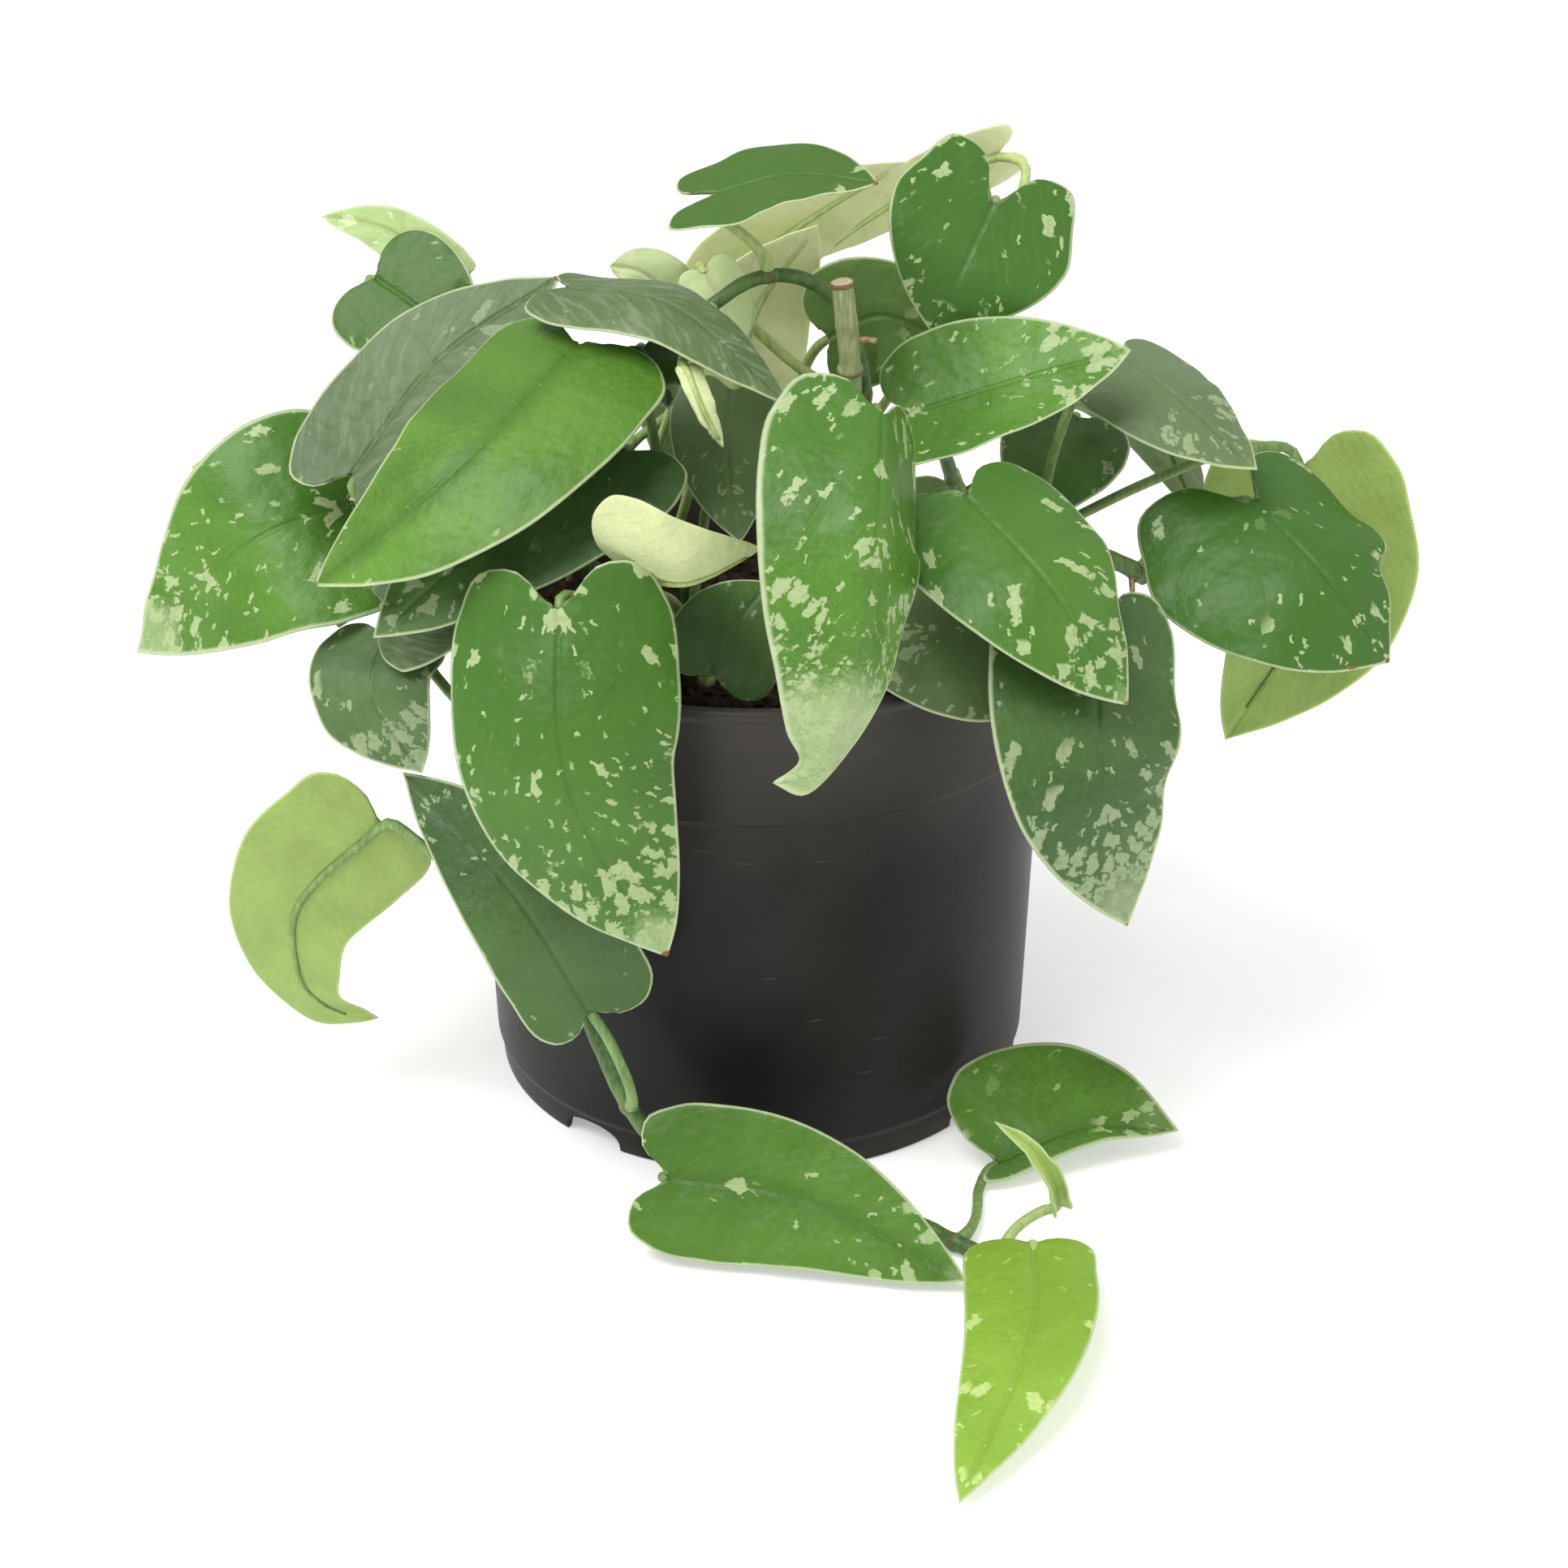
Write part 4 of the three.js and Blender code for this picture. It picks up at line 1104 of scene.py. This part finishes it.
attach(roots, "root")
print(len(ROOTS), "aerial roots,", len(root_faces), "faces")

# %% [markdown]
# ## Pot
#
# The pot is one moulded shell: a lip, a plain band under it, a straight tapered wall and a foot
# with four low arches for air. Turning a profile round the axis makes it. The profile's corners
# are rounded first, because a moulded edge is never sharp, and the arches and drain holes are cut
# with a Boolean, as they are the only parts that don't go all the way round.

# %% Pot sizes
POT_HEIGHT = 129 * MM
RIM = 75 * MM
BASE = 71 * MM
WALL = 1.6 * MM
BAND = 30 * MM
STEP = 0.9 * MM
LIP = 3 * MM
LIP_STEP = 0.8 * MM
FOOT = 8.5 * MM
FOOT_INSET = 1.4 * MM
PAD = 14 * MM
SOIL_DEPTH = 14 * MM
SOIL_TOP = POT_HEIGHT - SOIL_DEPTH
ARCHES, ARCH_HALF, ARCH_RISE, FIRST_ARCH = 4, 9 * MM, 6 * MM, -38
DRAINS, DRAIN_RADIUS, DRAIN_CIRCLE = 8, 4 * MM, 44 * MM
ROUNDING = 0.7 * MM
low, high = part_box("pot")
print("pot is", round((high.z - low.z) / MM, 1), "mm high")


def rounded(profile, radius, steps=4):
    """Rounds the corners of a line of (r, z) points."""
    points = [np.array(p, float) for p in profile]
    out = [points[0]]
    for before, corner, after in zip(points, points[1:], points[2:]):
        back, ahead = before - corner, after - corner
        reach = min(radius, np.linalg.norm(back) * 0.45, np.linalg.norm(ahead) * 0.45)
        start = corner + unit(back) * reach
        end = corner + unit(ahead) * reach
        for t in np.linspace(0, 1, steps + 1):
            out.append((1 - t) ** 2 * start + 2 * t * (1 - t) * corner + t**2 * end)
    return out + [points[-1]]


def turned(name, profile, count, material):
    """A closed shape made by turning a profile that starts and ends on the axis."""
    inner = profile[1:-1]
    points = [(0, 0, profile[0][1])]
    for r, z in inner:
        for k in range(count):
            turn = 2 * math.pi * k / count
            points.append((r * math.cos(turn), r * math.sin(turn), z))
    points.append((0, 0, profile[-1][1]))
    last = len(points) - 1
    faces = []
    for k in range(count):
        n = (k + 1) % count
        faces.append((0, 1 + n, 1 + k))
        for row in range(len(inner) - 1):
            a = 1 + row * count
            faces.append((a + k, a + n, a + count + n, a + count + k))
        a = 1 + (len(inner) - 1) * count
        faces.append((a + k, a + n, last))
    mesh = bpy.data.meshes.new(name)
    mesh.from_pydata(points, [], faces)
    mesh.materials.append(material)
    return show(name, mesh)


print("profile corners are rounded from", round(ROUNDING / MM, 1), "mm before them")

# %% [markdown]
# ## Pot plastic
#
# The plastic is satin black-grey. It has a fine moulded grain, faint dust, a few light scratches
# and very fine lines round it from the mould. Its upper part is painted lighter and browner: a
# painted sheen for the light that the band and lip catch from above.

# %% Pot finish
def pot_finish():
    finish = Finish("pot_plastic", roughness=0.4, Specular_IOR_Level=0.17)
    mix, rise, noise = finish.mix, finish.rise, finish.noise
    place = finish.place()
    z = finish.split(place)[2]
    dust = noise(place, 22.0, 5.0)
    fine = noise(place, 700.0, 2.0)
    rings = noise(finish.scaled(place, 4, 4, 900), 1.0, 2.0)
    scratch_lines = noise(finish.scaled(place, 60, 60, 700), 1.0, 1.0)
    scratches = rise(scratch_lines, 0.73, 0.78) * rise(dust, 0.5, 0.6)
    specks = rise(finish.cells(place, 160.0), 0.07, 0.04)
    black, charcoal = (0.005, 0.0055, 0.0045), (0.014, 0.0135, 0.012)
    colour = mix(black, charcoal, rise(dust, 0.35, 0.7))
    # Painted sheen: the band and lip are painted lighter and browner, for the light they catch from
    # above.
    high = rise(z + dust * 0.03, 0.09, 0.15)
    colour = mix(colour, (0.066, 0.058, 0.049), high * 0.85)
    colour = mix(colour, (0.10, 0.095, 0.085), scratches * 0.5)
    colour = mix(colour, (0.004, 0.004, 0.004), specks * 0.7)
    low_dirt = (1 - rise(z + dust * 0.01, 0.004, 0.014)) * rise(dust, 0.4, 0.6)
    colour = mix(colour, (0.085, 0.065, 0.045), low_dirt * 0.5)
    roughness = dust * 0.22 + fine * 0.06 + 0.28 + scratches * 0.15
    height = fine * 0.5 + rings * 0.5 - scratches * 0.6
    return finish.wear(colour, roughness, height, 0.00006)


POT_PLASTIC = pot_finish()
print("pot plastic has", len(POT_PLASTIC.node_tree.nodes), "nodes")

# %% Build the pot
def inner_wall(z):
    share = (z - FOOT) / (POT_HEIGHT - FOOT)
    return BASE + (RIM - LIP_STEP - STEP - BASE) * share - WALL


body_top = RIM - LIP_STEP - STEP
foot_radius = BASE - FOOT_INSET
profile = [
    (0, 0), (PAD, 0), (PAD + WALL, FOOT - WALL), (foot_radius - 2 * WALL, FOOT - WALL),
    (foot_radius - WALL, 0), (foot_radius, 0), (foot_radius + FOOT_INSET / 3, FOOT - FOOT_INSET),
    (BASE, FOOT), (body_top, POT_HEIGHT - BAND), (body_top + STEP, POT_HEIGHT - BAND + STEP),
    (body_top + STEP, POT_HEIGHT - LIP), (RIM, POT_HEIGHT - LIP + LIP_STEP),
    (RIM, POT_HEIGHT - LIP_STEP), (RIM - LIP_STEP, POT_HEIGHT), (inner_wall(POT_HEIGHT), POT_HEIGHT),
    (inner_wall(FOOT), FOOT), (PAD, FOOT), (PAD - WALL, WALL), (0, WALL),
]
pot = turned("pot_fine", rounded(profile, ROUNDING), 180, POT_PLASTIC)


def cutter(outline, height, place, turn, upright):
    """A prism with the given outline, for cutting."""
    shape = bmesh.new()
    places = [(x, -height / 2, y) if upright else (x, y, -height / 2) for x, y in outline]
    shape.faces.new([shape.verts.new(place) for place in places])
    made = bmesh.ops.extrude_face_region(shape, geom=shape.faces[:])
    moved = [v for v in made["geom"] if isinstance(v, bmesh.types.BMVert)]
    offset = (0, height, 0) if upright else (0, 0, height)
    bmesh.ops.translate(shape, verts=moved, vec=offset)
    bmesh.ops.recalc_face_normals(shape, faces=shape.faces[:])
    for v in shape.verts:
        x, y, z = v.co.x + place[0], v.co.y + place[1], v.co.z + place[2]
        v.co = (x * math.cos(turn) - y * math.sin(turn), x * math.sin(turn) + y * math.cos(turn), z)
    mesh = bpy.data.meshes.new("cutter")
    shape.to_mesh(mesh)
    shape.free()
    return mesh


half_turn = np.linspace(0.0, math.pi, 17)
arch = [(-ARCH_HALF, -2 * MM)]
arch += [(ARCH_HALF * -math.cos(a), ARCH_RISE * math.sin(a) ** 0.6) for a in half_turn]
arch += [(ARCH_HALF, -2 * MM)]
full_turn = np.linspace(0, 2 * math.pi, 21)[:-1]
disc = [(DRAIN_RADIUS * math.cos(a), DRAIN_RADIUS * math.sin(a)) for a in full_turn]
cuts = bmesh.new()
for k in range(ARCHES):
    turn = math.radians(FIRST_ARCH + 360 / ARCHES * k)
    cuts.from_mesh(cutter(arch, 16 * MM, (0, foot_radius - 1 * MM, 0), turn, True))
for k in range(DRAINS):
    turn = math.radians(360 / DRAINS * k)
    cuts.from_mesh(cutter(disc, 6 * MM, (DRAIN_CIRCLE, 0, FOOT - WALL / 2), turn, False))
cut_mesh = bpy.data.meshes.new("cuts")
cuts.to_mesh(cut_mesh)
cuts.free()
cut_object = show("cuts", cut_mesh)
opening = pot.modifiers.new("openings", "BOOLEAN")
opening.object = cut_object
opening.operation = "DIFFERENCE"
opening.solver = "EXACT"
bpy.context.view_layer.update()
finished = bpy.data.meshes.new_from_object(pot.evaluated_get(bpy.context.evaluated_depsgraph_get()))
pot.modifiers.clear()
pot.data = finished
bpy.data.objects.remove(cut_object)
shade_smooth(pot.data)
pot.data.set_sharp_from_angle(angle=math.radians(38))
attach(pot, "root")
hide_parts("pot")
print("pot:", len(pot.data.polygons), "faces")

# %% [markdown]
# ## Soil
#
# Potting soil is dark, loose and crumbly. A body of soil fills the pot, and its uneven top is
# strewn with crumbs by Geometry Nodes: random points on the surface, one rough ball on each,
# turned and sized at random, and then bent by noise so that no two are alike.

# %% Soil finish
def soil_finish(name, light):
    finish = Finish(name, roughness=0.95, Specular_IOR_Level=0.2)
    place = finish.place()
    clumps = finish.noise(place, 160.0, 5.0)
    grit = finish.noise(place, 900.0, 3.0)
    tint = finish.attribute("tint")
    mixed = clumps * 0.5 + grit * 0.3 + tint * 0.25
    colour = finish.ramp(mixed, (0.3, (0.010, 0.006, 0.004)), (0.5, (0.032, 0.020, 0.012)),
                         (0.75, light))
    return finish.wear(colour, grit * 0.1 + 0.85, clumps * 0.6 + grit * 0.6, 0.0006)


SOIL = soil_finish("soil_dark", (0.10, 0.065, 0.038))
print("soil finish")

# %% Soil body
low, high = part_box("soil")
WALL_GAP = 0.4 * MM
CRUMB_REACH = 67.5 * MM
soil_edge = inner_wall(SOIL_TOP) - 0.35 * MM
noise_phase = np.random.default_rng(7).uniform(0, 6.28, (14, 2))


def soil_height(x, y):
    """Height of the uneven soil surface over the middle of the pot."""
    r = math.hypot(x, y) / soil_edge
    crown = SOIL_TOP + 2.2 * MM * (1 - r * r)
    bumps = sum(math.sin(x * (90 + 40 * k) + a) * math.sin(y * (110 + 35 * k) + b) / (1 + k * 0.5)
                for k, (a, b) in enumerate(noise_phase))
    return crown + 0.5 * MM * bumps * (1 - r**6)


rings = np.concatenate([np.linspace(0.03, 0.96, 44), [1.0]]) * soil_edge
outline = [(0, low.z), (inner_wall(low.z) - WALL_GAP, low.z)]
levels = np.linspace(20 * MM, SOIL_TOP - 3 * MM, 6)
outline += [(inner_wall(z) - WALL_GAP, z) for z in levels]
outline += [(r, SOIL_TOP) for r in rings[::-1]] + [(0, SOIL_TOP)]
soil = turned("soil_fine", outline, 120, SOIL)
for vertex in soil.data.vertices:
    if vertex.co.z > SOIL_TOP - 1 * MM:
        vertex.co.z = soil_height(vertex.co.x, vertex.co.y)
point_values(soil.data, "tint", np.full(len(soil.data.vertices), 0.2))
shade_smooth(soil.data)
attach(soil, "root")
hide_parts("soil")
print("soil body:", len(soil.data.polygons), "faces")

# %% Crumb tree
def random_between(tree, low_value, high_value, seed, kind="FLOAT"):
    socket = {"FLOAT": (2, 3, 1), "FLOAT_VECTOR": (0, 1, 0)}[kind]
    sockets = {socket[0]: low_value, socket[1]: high_value, "Seed": seed}
    return step(tree, "FunctionNodeRandomValue", {"data_type": kind}, sockets, socket[2])


def crumb_tree():
    tree, given = new_tree("crumbs", ("Crumbs per square metre", "Float"), ("Smallest", "Float"),
                           ("Largest", "Float"), ("Seed", "Int"), ("Finish", "Material"))
    sockets = {"Mesh": given["Geometry"], "Density": given["Crumbs per square metre"],
               "Seed": given["Seed"]}
    points = step(tree, "GeometryNodeDistributePointsOnFaces", {}, sockets)
    ball = step(tree, "GeometryNodeMeshIcoSphere", {}, {"Radius": 1.0, "Subdivisions": 2})
    turn = random_between(tree, (0, 0, 0), (6.28, 6.28, 6.28), 3, "FLOAT_VECTOR")
    size = given["Smallest"] + (given["Largest"] - given["Smallest"]) * (
        random_between(tree, 0.0, 1.0, 5) * random_between(tree, 0.0, 1.0, 6))
    sockets = {"Points": points, "Instance": ball, "Rotation": turn, "Scale": size}
    crumbs = step(tree, "GeometryNodeInstanceOnPoints", {}, sockets)
    sockets = {"Geometry": crumbs, "Name": "tint", "Value": random_between(tree, 0.0, 1.0, 9)}
    settings = {"data_type": "FLOAT", "domain": "INSTANCE"}
    crumbs = step(tree, "GeometryNodeStoreNamedAttribute", settings, sockets)
    crumbs = step(tree, "GeometryNodeRealizeInstances", {}, {"Geometry": crumbs})
    place = step(tree, "GeometryNodeInputPosition")
    sockets = {"Vector": place, "Scale": 420.0, "Detail": 1.0}
    rough = step(tree, "ShaderNodeTexNoise", {}, sockets, 1)
    away = {"operation": "SUBTRACT"}
    centred = step(tree, "ShaderNodeVectorMath", away, {0: rough, 1: (0.5, 0.5, 0.5)})
    sockets = {0: centred, "Scale": 0.0022}
    shift = step(tree, "ShaderNodeVectorMath", {"operation": "SCALE"}, sockets)
    crumbs = step(tree, "GeometryNodeSetPosition", {}, {"Geometry": crumbs, "Offset": shift})
    sockets = {"Geometry": crumbs, "Material": given["Finish"]}
    crumbs = step(tree, "GeometryNodeSetMaterial", {}, sockets)
    return close_tree(tree, crumbs)


CRUMBS = crumb_tree()
print("crumb tree:", len(CRUMBS.nodes), "nodes")

# %% Strew the crumbs
def soil_patch():
    """The top of the soil without its outermost ring, as a mesh of its own."""
    shape = bmesh.new()
    shape.from_mesh(soil.data)
    outside = lambda v: v.co.z < SOIL_TOP - 3 * MM or v.co.xy.length > CRUMB_REACH
    drop = [f for f in shape.faces if any(outside(v) for v in f.verts)]
    bmesh.ops.delete(shape, geom=drop, context="FACES")
    mesh = bpy.data.meshes.new("soil_patch")
    shape.to_mesh(mesh)
    shape.free()
    return mesh


values = {"Crumbs per square metre": 150000.0, "Smallest": 0.5 * MM, "Largest": 2.6 * MM, "Seed": 11,
          "Finish": SOIL}
crumb_mesh = grow("soil_crumbs", soil_patch(), CRUMBS, **values)
crumbs = show("soil_crumbs", crumb_mesh)
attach(crumbs, "root")
print("crumbs:", len(crumb_mesh.polygons), "faces")
